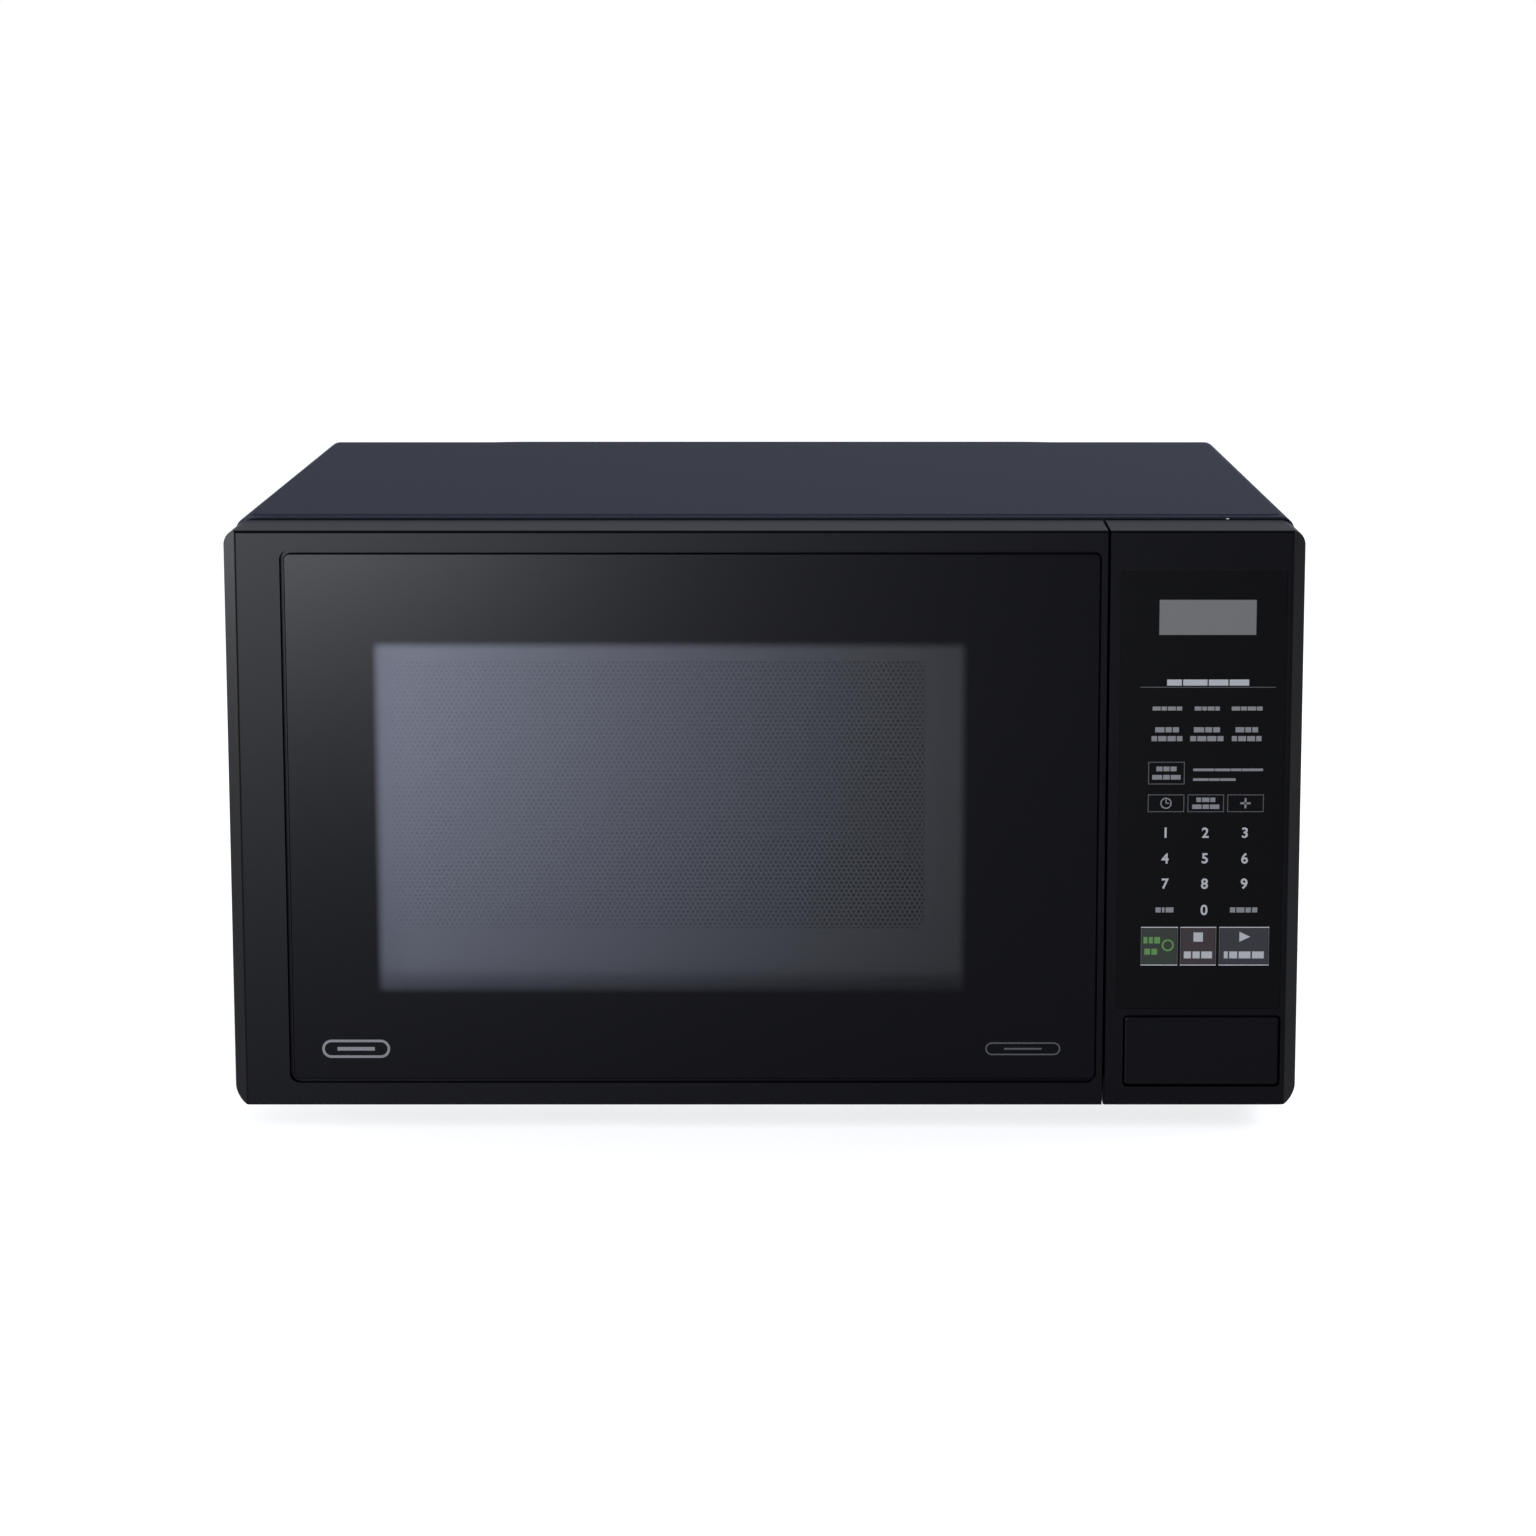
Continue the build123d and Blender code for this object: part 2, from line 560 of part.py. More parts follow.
def waveguide_cover():
    """Mica sheet over the port, on the inside of the right wall."""
    y = grow((PORT_Y - PORT_W / 2, PORT_Y + PORT_W / 2), MICA_OVER)
    z = grow((PORT_Z - PORT_H / 2, PORT_Z + PORT_H / 2), MICA_OVER)
    return thick_x(rectangle(y, z, 3), (CAV_X[1] - MICA_T, CAV_X[1]))


def waveguide():
    """Steel duct from the magnetron's antenna to the cavity port, with a flange welded to the cavity."""
    y = (PORT_Y - PORT_W / 2 - 6, MAG_Y + 34)
    z = grow((MAG_Z - 38, MAG_Z + 38), 0)
    duct = block((BAY_X[0], GUIDE_X), y, z)
    duct -= block((BAY_X[0] - 1, GUIDE_X - SHEET), grow(y, -SHEET), grow(z, -SHEET))
    flange = block((BAY_X[0], BAY_X[0] + SHEET), grow(y, 6), grow(z, 6))
    duct += flange - block((BAY_X[0] - 1, BAY_X[0] + 2), grow(y, -SHEET), grow(z, -SHEET))
    return duct - rod_x((GUIDE_X - 2, GUIDE_X + 1), MAG_Y, MAG_Z, NECK_R + 0.3)


# ---- turntable ----
def glass_tray():
    rim = TRAY_Z + TRAY_RIM_H
    flat = TRAY_R - TRAY_RIM_W
    under = Line((0, TRAY_Z), (flat, TRAY_Z))
    rise = ThreePointArc((flat, TRAY_Z), (flat + 0.62 * TRAY_RIM_W, TRAY_Z + 0.22 * TRAY_RIM_H),
                         (TRAY_R, rim - 1.5))
    lip = ThreePointArc((TRAY_R, rim - 1.5), (TRAY_R - TRAY_T * 0.45, rim), (TRAY_R - TRAY_T * 0.95, rim - 1.2))
    fall = ThreePointArc((TRAY_R - TRAY_T * 0.95, rim - 1.2),
                         (flat + 0.48 * TRAY_RIM_W, TRAY_Z + TRAY_T + 0.13 * TRAY_RIM_H),
                         (flat - 2, TRAY_Z + TRAY_T))
    top = Line((flat - 2, TRAY_Z + TRAY_T), (0, TRAY_Z + TRAY_T))
    close = Line((0, TRAY_Z + TRAY_T), (0, TRAY_Z))
    dish = revolve(Plane.XZ * make_face([under, rise, lip, fall, top, close]), Axis.Z)
    ridge = block((COUPLER_HUB_R + 2, COUPLER_ARM_R + 2), (-4, 4), (TRAY_Z - 4.5, TRAY_Z + 1))
    for k in range(3):
        dish += Rot(0, 0, 60 + 120 * k) * ridge
    return Pos(CAV_MID_X, CAV_MID_Y, 0) * dish


def drive_coupler():
    low = PLATEAU_TOP + COUPLER_GAP
    high = TRAY_Z - COUPLER_GAP
    body = rod_z(0, 0, (low, high), COUPLER_HUB_R)
    arm = block((0, COUPLER_ARM_R - 2), (-COUPLER_ARM_W / 2, COUPLER_ARM_W / 2), (low + 2, high - 1))
    arm += rod_z(COUPLER_ARM_R - 2, 0, (low + 2, high - 1), COUPLER_ARM_W / 2)
    for k in range(3):
        body += Rot(0, 0, 120 * k) * arm
    body -= rod_z(0, 0, (low - 1, high - 2), MOTOR_SHAFT_R)
    return Pos(CAV_MID_X, CAV_MID_Y, 0) * body


def motor_shaft():
    top = TRAY_Z - COUPLER_GAP - 2.2
    return rod_z(CAV_MID_X, CAV_MID_Y, (PLATEAU_TOP - SHEET - 6, top), MOTOR_SHAFT_R)


def turntable_motor():
    top = PLATEAU_TOP - SHEET
    can = rod_z(0, 0, (top - MOTOR_H, top), MOTOR_R)
    can = fillet(can.faces().sort_by(Axis.Z)[0].edges(), 1.5)
    ears = block((-MOTOR_R - 9, MOTOR_R + 9), (-7, 7), (top - 1, top))
    ears -= [rod_z(side * (MOTOR_R + 5), 0, (top - 2, top + 1), 2.1) for side in (-1, 1)]
    terminal = block((-8, 8), (MOTOR_R - 3, MOTOR_R + 8), (top - 14, top - 6))
    can += ears + terminal
    can -= rod_z(0, 0, (top - 7, top + 1), MOTOR_SHAFT_R + 0.05)
    return Pos(CAV_MID_X, CAV_MID_Y, 0) * can


def roller_angle(k):
    return 90 + 120 * k


def roller_ring():
    flat = (AXLE_Z - RING_T / 2, AXLE_Z + RING_T / 2)
    ring = rod_z(0, 0, flat, RING_OUT) - rod_z(0, 0, grow(flat, 1), RING_OUT - RING_W)
    end = ROLLER_AT + ROLLER_W / 2 + 0.6
    for k in range(3):
        axle = rod_x((RING_OUT - 2, end), 0, AXLE_Z, AXLE_R)
        axle += rod_x((end, end + 1.5), 0, AXLE_Z, AXLE_R + 0.9)
        ring += Rot(0, 0, roller_angle(k)) * axle
    return Pos(CAV_MID_X, CAV_MID_Y, 0) * ring


def roller(k):
    across = (ROLLER_AT - ROLLER_W / 2, ROLLER_AT + ROLLER_W / 2)
    wheel = rod_x(across, 0, AXLE_Z, ROLLER_R)
    wheel = fillet(wheel.edges(), 0.8)
    wheel -= rod_x(grow(across, 1), 0, AXLE_Z, AXLE_R + AXLE_FIT)
    return Pos(CAV_MID_X, CAV_MID_Y, 0) * Rot(0, 0, roller_angle(k)) * wheel


# ---- front blanks: the moulded outside of door and control panel ----
def front_blank(x, rear, inset, face, left, right, hinge_round=0.0):
    """Solid outside of a front piece. left or right bevels and rounds that side; inset makes the hollow."""
    x0, x1 = x[0] + inset, x[1] - inset
    y0, y1 = Y_FRONT + face, rear
    plan = [(x0, y1)]
    plan += [(x0, y0 + BEVEL_D), (x0 + BEVEL_W, y0)] if left else [(x0, y0)]
    plan += [(x1 - BEVEL_W, y0), (x1, y0 + BEVEL_D)] if right else [(x1, y0)]
    plan.append((x1, y1))
    seen_from_top = polygon(*plan)
    bevels = [v for v in seen_from_top.vertices()
              if (left and v.X < x0 + BEVEL_W + 0.1 and v.Y < y1 - 0.1)
              or (right and v.X > x1 - BEVEL_W - 0.1 and v.Y < y1 - 0.1)]
    seen_from_top = fillet(bevels, BEVEL_SOFT)
    if hinge_round:
        back_left = [v for v in seen_from_top.vertices() if v.X < x0 + 0.1 and v.Y > y1 - 0.1]
        seen_from_top = fillet(back_left, hinge_round)
    z0, z1 = Z_BODY + inset, FRONT_TOP - inset
    seen_from_front = rectangle((x0, x1), (z0, z1))
    side = seen_from_front.vertices().sort_by(Axis.X)
    side = (side[:2] if left else []) + (side[-2:] if right else [])
    seen_from_front = fillet(side, CORNER_R - inset)
    near, low = y0 - SOFT_OVER, z0 - SOFT_OVER
    seen_from_side = polygon((near, low), (y1 + 1, low), (y1 + 1, z1), (near, z1 - TOP_DROP))
    seen_from_side = fillet(seen_from_side.vertices().sort_by(Axis.X)[:2], BEVEL_SOFT + SOFT_OVER)
    solid = thick_z(seen_from_top, (Z_BODY - 1, HEIGHT + 1))
    solid &= thick_y(seen_from_front, (Y_FRONT - 1, rear + 1))
    return solid & thick_x(seen_from_side, grow(x, 1))


# ---- door ----
def tab_slot(tab):
    """What a hinge tab sweeps in the door, from straight back at rest to the left when open."""
    return block((X_LEFT - 5, HINGE_X + HINGE_TAB_HALF + 1), (HINGE_Y - 9.5, DOOR_BACK + 5), grow(tab, 0.8))


def boss_span(tab, up):
    return (tab[1] + 1.0, tab[1] + HINGE_PIN_L + 3) if up else (tab[0] - HINGE_PIN_L - 3, tab[0] - 1.0)


def door_frame():
    x = (X_LEFT, DOOR_RIGHT)
    frame = front_blank(x, DOOR_BACK, 0, 0, True, False, HINGE_ROUND)
    frame -= front_blank(x, DOOR_BACK - WALL, WALL, FRONT_WALL, True, False, HINGE_ROUND - WALL)
    opening_x = (X_LEFT + HINGE_ROUND + 0.3, DOOR_RIGHT - WALL)
    opening_z = (Z_BODY + WALL, FRONT_TOP - WALL - TOP_DROP)
    frame -= block(opening_x, (DOOR_BACK - WALL - 1, DOOR_BACK + 1), opening_z)
    pocket = rectangle(GLASS_X, GLASS_Z, GLASS_R + GROOVE)
    frame -= thick_y(pocket, (Y_FRONT - 1, Y_FRONT + POCKET_D))
    ledge = rectangle(grow(GLASS_X, -LEDGE), grow(GLASS_Z, -LEDGE), GLASS_R)
    frame -= thick_y(ledge, (Y_FRONT, Y_FRONT + FRONT_WALL + 1))
    for tab, up in ((TAB_LOW, True), (TAB_HIGH, False)):
        span = boss_span(tab, up)
        boss = rod_z(HINGE_X, HINGE_Y, span, HINGE_BOSS_R)
        boss += block((HINGE_X - 1.5, HINGE_X + 1.5), (Y_FRONT + FRONT_WALL - 0.5, HINGE_Y - 4), span)
        boss += block((X_LEFT + WALL / 2, HINGE_X - 4), (HINGE_Y - 2, HINGE_Y + 2), span)
        frame += boss
        frame -= rod_z(HINGE_X, HINGE_Y, grow(span, 1), HINGE_PIN_R + HINGE_FIT)
        frame -= tab_slot(tab)
    return frame + latch_guides()


def latch_guides():
    """Ribs each side of the latch bar, and the peg that its spring hooks on."""
    y = (Y_FRONT + FRONT_WALL - 0.5, LATCH_Y[1] - 0.5)
    found = []
    for z in (HOOK_Z[0] + 20.0, HOOK_Z[1] - 20.0):
        for side in (LATCH_X[0] - 2.4, LATCH_X[1] + 0.4):
            found.append(block((side, side + 2.0), y, (z - 8, z + 8)))
    middle = sum(LATCH_X) / 2
    peg = block((middle - 4, middle + 4), y, (SPRING_Z[0] - 4, SPRING_Z[0]))
    return found + [peg]


LATCH_Z = (HOOK_Z[0] - 17.0, HOOK_Z[1] + 17.0)
SPRING_Z = (LATCH_Z[0] - 17.0, LATCH_Z[0])


def front_window():
    """Black-bordered front pane in the door's pocket; the groove shows on three sides."""
    x = (GLASS_X[0] + GROOVE, GLASS_X[1] - 0.4)
    pane = thick_y(rectangle(x, grow(GLASS_Z, -GROOVE), GLASS_R), (Y_FRONT + POCKET_D - GLASS_T, Y_FRONT + POCKET_D))
    return chamfer(pane.faces().sort_by(Axis.Y)[0].edges(), 0.4)


def door_panel():
    """Metal door: a pan whose floor seals on the front plate, with a recess for the screen."""
    pan = thick_y(rectangle(PAN_X, PAN_Z, 6), PAN_Y)
    pan -= thick_y(rectangle(grow(PAN_X, -SHEET), grow(PAN_Z, -SHEET), 6 - SHEET), (PAN_Y[0] - 1, PAN_Y[1] - SHEET))
    recess = rectangle(RECESS_X, RECESS_Z, 10)
    cup_y = (SCREEN_Y, PAN_Y[1])
    pan += thick_y(rectangle(grow(RECESS_X, SHEET), grow(RECESS_Z, SHEET), 10 + SHEET), cup_y)
    pan -= thick_y(recess, (SCREEN_Y + SHEET, PAN_Y[1] + 1))
    return pan - thick_y(rectangle(SCREEN_X, SCREEN_Z, 3), (SCREEN_Y - 1, PAN_Y[1]))


def door_screen():
    """Perforated sheet behind the metal door's recess, seen through the window."""
    outline = rectangle(grow(SCREEN_X, 6), grow(SCREEN_Z, 6), 3)
    return thick_y(outline, (SCREEN_Y - SCREEN_T, SCREEN_Y))


def inner_window():
    """Clear sheet on the cavity side of the metal door's recess."""
    outline = rectangle(grow(RECESS_X, -FIT), grow(RECESS_Z, -FIT), 10 - FIT)
    return thick_y(outline, (PAN_Y[1] - FILM_T, PAN_Y[1]))


def choke_cover():
    """Moulded ring that closes the door's back around the metal door."""
    x = (X_LEFT + HINGE_ROUND + 0.6, DOOR_RIGHT - WALL - FIT)
    z = (Z_BODY + WALL + FIT, FRONT_TOP - WALL - TOP_DROP - FIT)
    ring = thick_y(rectangle(x, z, 1), (DOOR_BACK - COVER_T, DOOR_BACK))
    ring -= thick_y(rectangle(grow(CAV_X, -COVER_IN), grow(CAV_Z, -COVER_IN), 8), (DOOR_BACK - 5, DOOR_BACK + 1))
    for hook in HOOK_Z:
        ring -= thick_y(hook_slot(hook, 0.5), (DOOR_BACK - 5, DOOR_BACK + 1))
    for tab in (TAB_LOW, TAB_HIGH):
        ring -= tab_slot(tab)
    return ring


# ---- hinges ----
def hinge(tab, up):
    """Steel bracket behind the front plate, with a tab through it that carries the door's pin."""
    y0 = HINGE_Y
    left, right = HINGE_X - HINGE_TAB_HALF, HINGE_X + HINGE_TAB_HALF
    bracket = block((left, right), (y0, PLATE_BACK + HINGE_TAB_T), tab)
    bracket += rod_z(HINGE_X, y0, tab, HINGE_TAB_HALF)
    rise = (tab[0], tab[1] + 27) if up else (tab[0] - 27, tab[1])
    bracket += block((left, right + 9), (PLATE_BACK, PLATE_BACK + HINGE_TAB_T), rise)
    pin = (tab[0], tab[1] + HINGE_PIN_L) if up else (tab[0] - HINGE_PIN_L, tab[1])
    bracket += rod_z(HINGE_X, HINGE_Y, pin, HINGE_PIN_R)
    for x, z in hinge_screw_places():
        if rise[0] < z < rise[1]:
            bracket -= rod_y(x, (PLATE_BACK - 1, PLATE_BACK + 3), z, SCREW_HOLE_R)
    return bracket


# ---- latch, lever and switches ----
def door_latch():
    """Sliding bar in the door with two hooks that reach through the front plate."""
    bar = block(LATCH_X, LATCH_Y, LATCH_Z)
    for z in HOOK_Z:
        nose = HOOK_TIP - HOOK_NOSE_L
        hook = polygon(
            (LATCH_Y[0], z), (nose, z), (nose, z - HOOK_NOSE), (HOOK_TIP - 2, z - HOOK_NOSE),
            (HOOK_TIP, z - HOOK_NOSE + 3), (HOOK_TIP, z + HOOK_H - 1), (HOOK_TIP - 1, z + HOOK_H),
            (LATCH_Y[0], z + HOOK_H),
        )
        bar += thick_x(hook, LATCH_X)
    return bar


def coil(radius, wire, length, turns):
    """A closed spring standing on the origin along +Z."""
    path = Helix(pitch=(length - 2 * wire) / turns, height=length - 2 * wire, radius=radius)
    start = Plane(origin=path @ 0, z_dir=path % 0)
    return Pos(0, 0, wire) * sweep(start * Circle(wire), path=path, is_frenet=True)


def latch_spring():
    middle = (sum(LATCH_X) / 2, sum(LATCH_Y) / 2, SPRING_Z[0])
    return Pos(*middle) * coil(2.6, SPRING_WIRE, SPRING_Z[1] - SPRING_Z[0], 8)


BOARD_X = (LATCH_X[0] - 12.0, sum(LATCH_X) / 2 + SWITCH_W + 0.1 + 2.5)


def catch_ledge(z):
    """Shelf in front of the nose's left half; its top clears the nose so that the door can swing."""
    y = (PLATE_BACK + 2.5, HOOK_TIP - HOOK_NOSE_L - 0.8)
    return block((LATCH_X[0] - 3.0, sum(LATCH_X) / 2 - 0.3), y, (z - HOOK_NOSE - 6.0, z - HOOK_NOSE - HOOK_GAP))


def latch_board():
    """Moulded carrier behind the front plate: catches, switch wall and lever bearings."""
    z = (LEVER_Z - 10.0, HOOK_Z[1] + 30.0)
    board = block(BOARD_X, (PLATE_BACK, PLATE_BACK + 3), z)
    for hook in HOOK_Z:
        board -= thick_y(hook_slot(hook, 0.5), (PLATE_BACK - 1, PLATE_BACK + 4))
        board += catch_ledge(hook)
    wall = (BOARD_X[1] - 2.5, BOARD_X[1])
    board += block(wall, (PLATE_BACK, HOOK_TIP + SWITCH_L + 4), z)
    for z_switch in {place[2] for place in switch_places().values()}:
        shelf_z = (z_switch - SWITCH_H / 2 - 2.5, z_switch - SWITCH_H / 2)
        board += block((sum(LATCH_X) / 2 - SWITCH_W, BOARD_X[1]), (SWITCH_Y + 5, SWITCH_Y + 19), shelf_z)
    lug_x = (BOARD_X[0], BOARD_X[0] + 3.0)
    board += block(lug_x, (PLATE_BACK, LEVER_Y + 6), (LEVER_Z - 6, LEVER_Z + 6))
    bore = LEVER_R + LEVER_FIT
    board -= rod_x((BOARD_X[0] - 1, BOARD_X[1] + 1), LEVER_Y, LEVER_Z, bore)
    sweep_room = block((lug_x[1], wall[0]), (PLATE_BACK - 1, LEVER_Y + 8), (LEVER_Z - 11, LEVER_Z + 6.5))
    return board - (sweep_room - rod_x(lug_x, LEVER_Y, LEVER_Z, 1))


BUTTON_POST = (BUTTON_X[0] + 1.5, BUTTON_X[0] + 7.5)


def open_lever():
    """Rocker: the button pushes its lower arm back, and its finger rises under the lower hook's nose."""
    x = (BOARD_X[0], BUTTON_POST[1])
    lever = rod_x(x, LEVER_Y, LEVER_Z, LEVER_R)
    arm_x = (BUTTON_POST[0], BUTTON_POST[1])
    lever += block(arm_x, (LEVER_Y - LEVER_R, LEVER_Y + LEVER_R), (LEVER_Z - LEVER_ARM - 4, LEVER_Z + LEVER_R))
    lift_x = (sum(LATCH_X) / 2 + 0.3, LATCH_X[1] + 1.0)
    lever += block(lift_x, (LEVER_Y - LEVER_R, LEVER_Y + LEVER_REACH), (LEVER_Z - LEVER_R, LEVER_Z + LEVER_R))
    finger_z = (LEVER_Z, HOOK_Z[0] - HOOK_NOSE - LIFT_GAP)
    return lever + block(lift_x, (LEVER_Y + LEVER_REACH - 5, LEVER_Y + LEVER_REACH), finger_z)


def switch_places():
    """Upper hook works the primary switch, lower hook the secondary and monitor ones, side by side."""
    middle = sum(LATCH_X) / 2
    side = SWITCH_W / 2 + 0.1
    high, low = HOOK_Z[1] + 2.0, HOOK_Z[0] + 2.0
    return {
        "primary": (middle - side, middle - 1.7, high),
        "secondary": (middle - side, middle - 1.7, low),
        "monitor": (middle + side, middle + 1.7, low),
    }


SWITCH_Y = HOOK_TIP + TOUCH_GAP + PLUNGER_OUT


def interlock_switches():
    found = []
    for body_x, plunger_x, z in switch_places().values():
        body = block((body_x - SWITCH_W / 2, body_x + SWITCH_W / 2), (SWITCH_Y, SWITCH_Y + SWITCH_L),
                     (z - SWITCH_H / 2, z + SWITCH_H / 2))
        body -= block(grow((plunger_x - PLUNGER_W / 2, plunger_x + PLUNGER_W / 2), PLUNGER_FIT),
                      (SWITCH_Y - 1, SWITCH_Y + PLUNGER_L), grow((z - PLUNGER_H / 2, z + PLUNGER_H / 2), PLUNGER_FIT))
        for terminal in (-5, 0, 5):
            body += block((body_x - 0.4, body_x + 0.4), (SWITCH_Y + SWITCH_L, SWITCH_Y + SWITCH_L + 6),
                          (z + terminal - 1.6, z + terminal + 1.6))
        found.append(body)
    return found


def plunger(name):
    _, x, z = switch_places()[name]
    y = (SWITCH_Y - PLUNGER_OUT, SWITCH_Y + PLUNGER_L - PLUNGER_OUT)
    return block((x - PLUNGER_W / 2, x + PLUNGER_W / 2), y, (z - PLUNGER_H / 2, z + PLUNGER_H / 2))


# ---- control panel ----
BUTTON_SHELF_Y = Y_FRONT + 22.0


def panel_housing():
    x = (X_SPLIT, X_RIGHT)
    body = front_blank(x, PLATE_Y, 0, 0, False, True)
    body -= front_blank(x, PLATE_Y + 1, WALL, WALL, False, True)
    body -= thick_y(rectangle(grow(KEYS_X, 0.1), grow(KEYS_Z, 0.1), 1), (Y_FRONT - 1, Y_FRONT + KEYS_RECESS))
    lens = rectangle(grow(DISPLAY_X, LENS_FIT), grow(DISPLAY_Z, LENS_FIT))
    body -= thick_y(lens, (Y_FRONT - 1, Y_FRONT + WALL + 1))
    hole_x, hole_z = grow(BUTTON_X, BUTTON_GAP), grow(BUTTON_Z, BUTTON_GAP)
    body -= thick_y(rectangle(hole_x, hole_z, 2), (Y_FRONT - 1, Y_FRONT + WALL + 1))
    shelf_y = (BUTTON_SHELF_Y, BUTTON_SHELF_Y + 2)
    shelf = block((X_SPLIT + WALL - 0.5, X_RIGHT - WALL + 0.5), shelf_y, (BUTTON_Z[0] - 5, BUTTON_Z[1] + 3))
    shelf -= block(grow(BUTTON_POST, 0.8), grow(shelf_y, 1), grow(POST_Z, 0.8))
    body += shelf
    for px in (KEYS_X[0] + 5, KEYS_X[1] - 5):
        for pz in (KEYS_Z[0] + 14, KEYS_Z[1] - 8):
            body += rod_y(px, (Y_FRONT + WALL - 0.5, BOARD_Y), pz, 3)
    rib_y = (Y_FRONT + BEVEL_SOFT, DOOR_BACK)
    rib_z = (Z_BODY, Z_BODY + GAP_RIB_H)
    return body + block((X_SPLIT - GAP_RIB, X_SPLIT + WALL / 2), rib_y, rib_z)


POST_Z = (LEVER_Z - LEVER_ARM - POST_HALF, LEVER_Z - LEVER_ARM + POST_HALF)


def door_button():
    """Push plate with a skirt and a post that reaches the lever."""
    y = (Y_FRONT + BUTTON_SINK, Y_FRONT + BUTTON_SINK + BUTTON_D)
    plate = thick_y(rectangle(BUTTON_X, BUTTON_Z, 1.5), y)
    plate = fillet(plate.faces().sort_by(Axis.Y)[0].edges(), 0.9)
    plate -= thick_y(rectangle(grow(BUTTON_X, -2), grow(BUTTON_Z, -2), 1), (y[0] + 2, y[1] + 1))
    post_end = LEVER_Y - LEVER_R - LIFT_GAP
    return plate + block(BUTTON_POST, (y[0] + 1.5, post_end), POST_Z)


SPRING_Y = (Y_FRONT + BUTTON_SINK + 2.0, BUTTON_SHELF_Y)


def button_spring():
    middle = (sum(BUTTON_X) / 2, SPRING_Y[0], sum(BUTTON_Z) / 2)
    return Pos(*middle) * Rot(-90, 0, 0) * coil(SPRING_R, SPRING_WIRE, SPRING_Y[1] - SPRING_Y[0], 6)


def key_membrane():
    sheet = thick_y(rectangle(KEYS_X, KEYS_Z, 1), (Y_FRONT + KEYS_RECESS - KEYS_T, Y_FRONT + KEYS_RECESS))
    hole = rectangle(grow(DISPLAY_X, LENS_FIT), grow(DISPLAY_Z, LENS_FIT))
    return sheet - thick_y(hole, (Y_FRONT - 1, Y_FRONT + KEYS_RECESS + 1))


def display_lens():
    face = Y_FRONT + KEYS_RECESS - KEYS_T
    lens = thick_y(rectangle(DISPLAY_X, DISPLAY_Z), (face, Y_FRONT + WALL + 1.2))
    return lens + thick_y(rectangle(grow(DISPLAY_X, 1.5), grow(DISPLAY_Z, 1.5)), (Y_FRONT + WALL, Y_FRONT + WALL + 1.2))


def control_board():
    x = (X_SPLIT + WALL + 1.5, X_RIGHT - WALL - 2.5)
    z = (KEYS_Z[0] + 6, KEYS_Z[1])
    return block(x, (BOARD_Y, BOARD_Y + BOARD_T), z)


def board_components():
    """Relay, low-voltage transformer and beeper behind the control board, and the display before it."""
    back = BOARD_Y + BOARD_T
    middle = (X_SPLIT + X_RIGHT) / 2
    relay = block((middle - 26, middle - 6), (back, back + 15), (KEYS_Z[0] + 22, KEYS_Z[0] + 50))
    transformer = block((middle, middle + 28), (back, back + 20), (KEYS_Z[0] + 22, KEYS_Z[0] + 54))
    beeper = rod_y(middle - 16, (back, back + 8), KEYS_Z[0] + 72, 9)
    display = block(grow(DISPLAY_X, 3), (Y_FRONT + WALL + 2.0, BOARD_Y), grow(DISPLAY_Z, 4))
    return [relay, transformer, beeper, display]


# ---- magnetron, on an axis along X ----
def magnetron_yoke():
    y = (MAG_Y - YOKE_W / 2, MAG_Y + YOKE_W / 2)
    z = (MAG_Z - YOKE_H / 2, MAG_Z + YOKE_H / 2)
    frame = block(YOKE_X, y, z)
    frame -= block(grow(YOKE_X, -YOKE_T), grow(y, 1), grow(z, -YOKE_T))
    frame -= rod_x((YOKE_X[0] - 1, YOKE_X[0] + 2), MAG_Y, MAG_Z, NECK_R + 0.3)
    return frame - rod_x((YOKE_X[1] - 2, YOKE_X[1] + 1), MAG_Y, MAG_Z, NECK_R + 0.3)


def magnetron_magnets():
    found = []
    for x in ((YOKE_X[0] + YOKE_T, YOKE_X[0] + YOKE_T + MAGNET_T), (YOKE_X[1] - YOKE_T - MAGNET_T, YOKE_X[1] - YOKE_T)):
        found.append(rod_x(x, MAG_Y, MAG_Z, MAGNET_R) - rod_x(grow(x, 1), MAG_Y, MAG_Z, NECK_R + 0.3))
    return found


def fin_room():
    gap = YOKE_T + MAGNET_T
    return (YOKE_X[0] + gap, YOKE_X[1] - gap)


def magnetron_anode():
    """Copper anode between the magnets, its necks through them, and the antenna in the waveguide."""
    room = fin_room()
    tube = rod_x(room, MAG_Y, MAG_Z, ANODE_R)
    tube += rod_x((YOKE_X[0] - 2, YOKE_X[1] + 2), MAG_Y, MAG_Z, NECK_R)
    antenna = rod_x((GUIDE_X - GUIDE_D + 7, GUIDE_X), MAG_Y, MAG_Z, ANTENNA_R)
    antenna = fillet(antenna.faces().sort_by(Axis.X)[0].edges(), 3)
    return tube + antenna + rod_x((GUIDE_X - 10, GUIDE_X), MAG_Y, MAG_Z, ANTENNA_R + 2)


def magnetron_fins():
    room = fin_room()
    pitch = (room[1] - room[0]) / FIN_COUNT
    found = []
    for k in range(FIN_COUNT):
        x = room[0] + (k + 0.5) * pitch
        fin = block((x - FIN_T / 2, x + FIN_T / 2), (MAG_Y - YOKE_W / 2 + 4, MAG_Y + YOKE_W / 2 - 4),
                    (MAG_Z - YOKE_H / 2 + YOKE_T + 0.3, MAG_Z + YOKE_H / 2 - YOKE_T - 0.3))
        found.append(fin - rod_x((x - 1, x + 1), MAG_Y, MAG_Z, ANODE_R + 0.05))
    return found


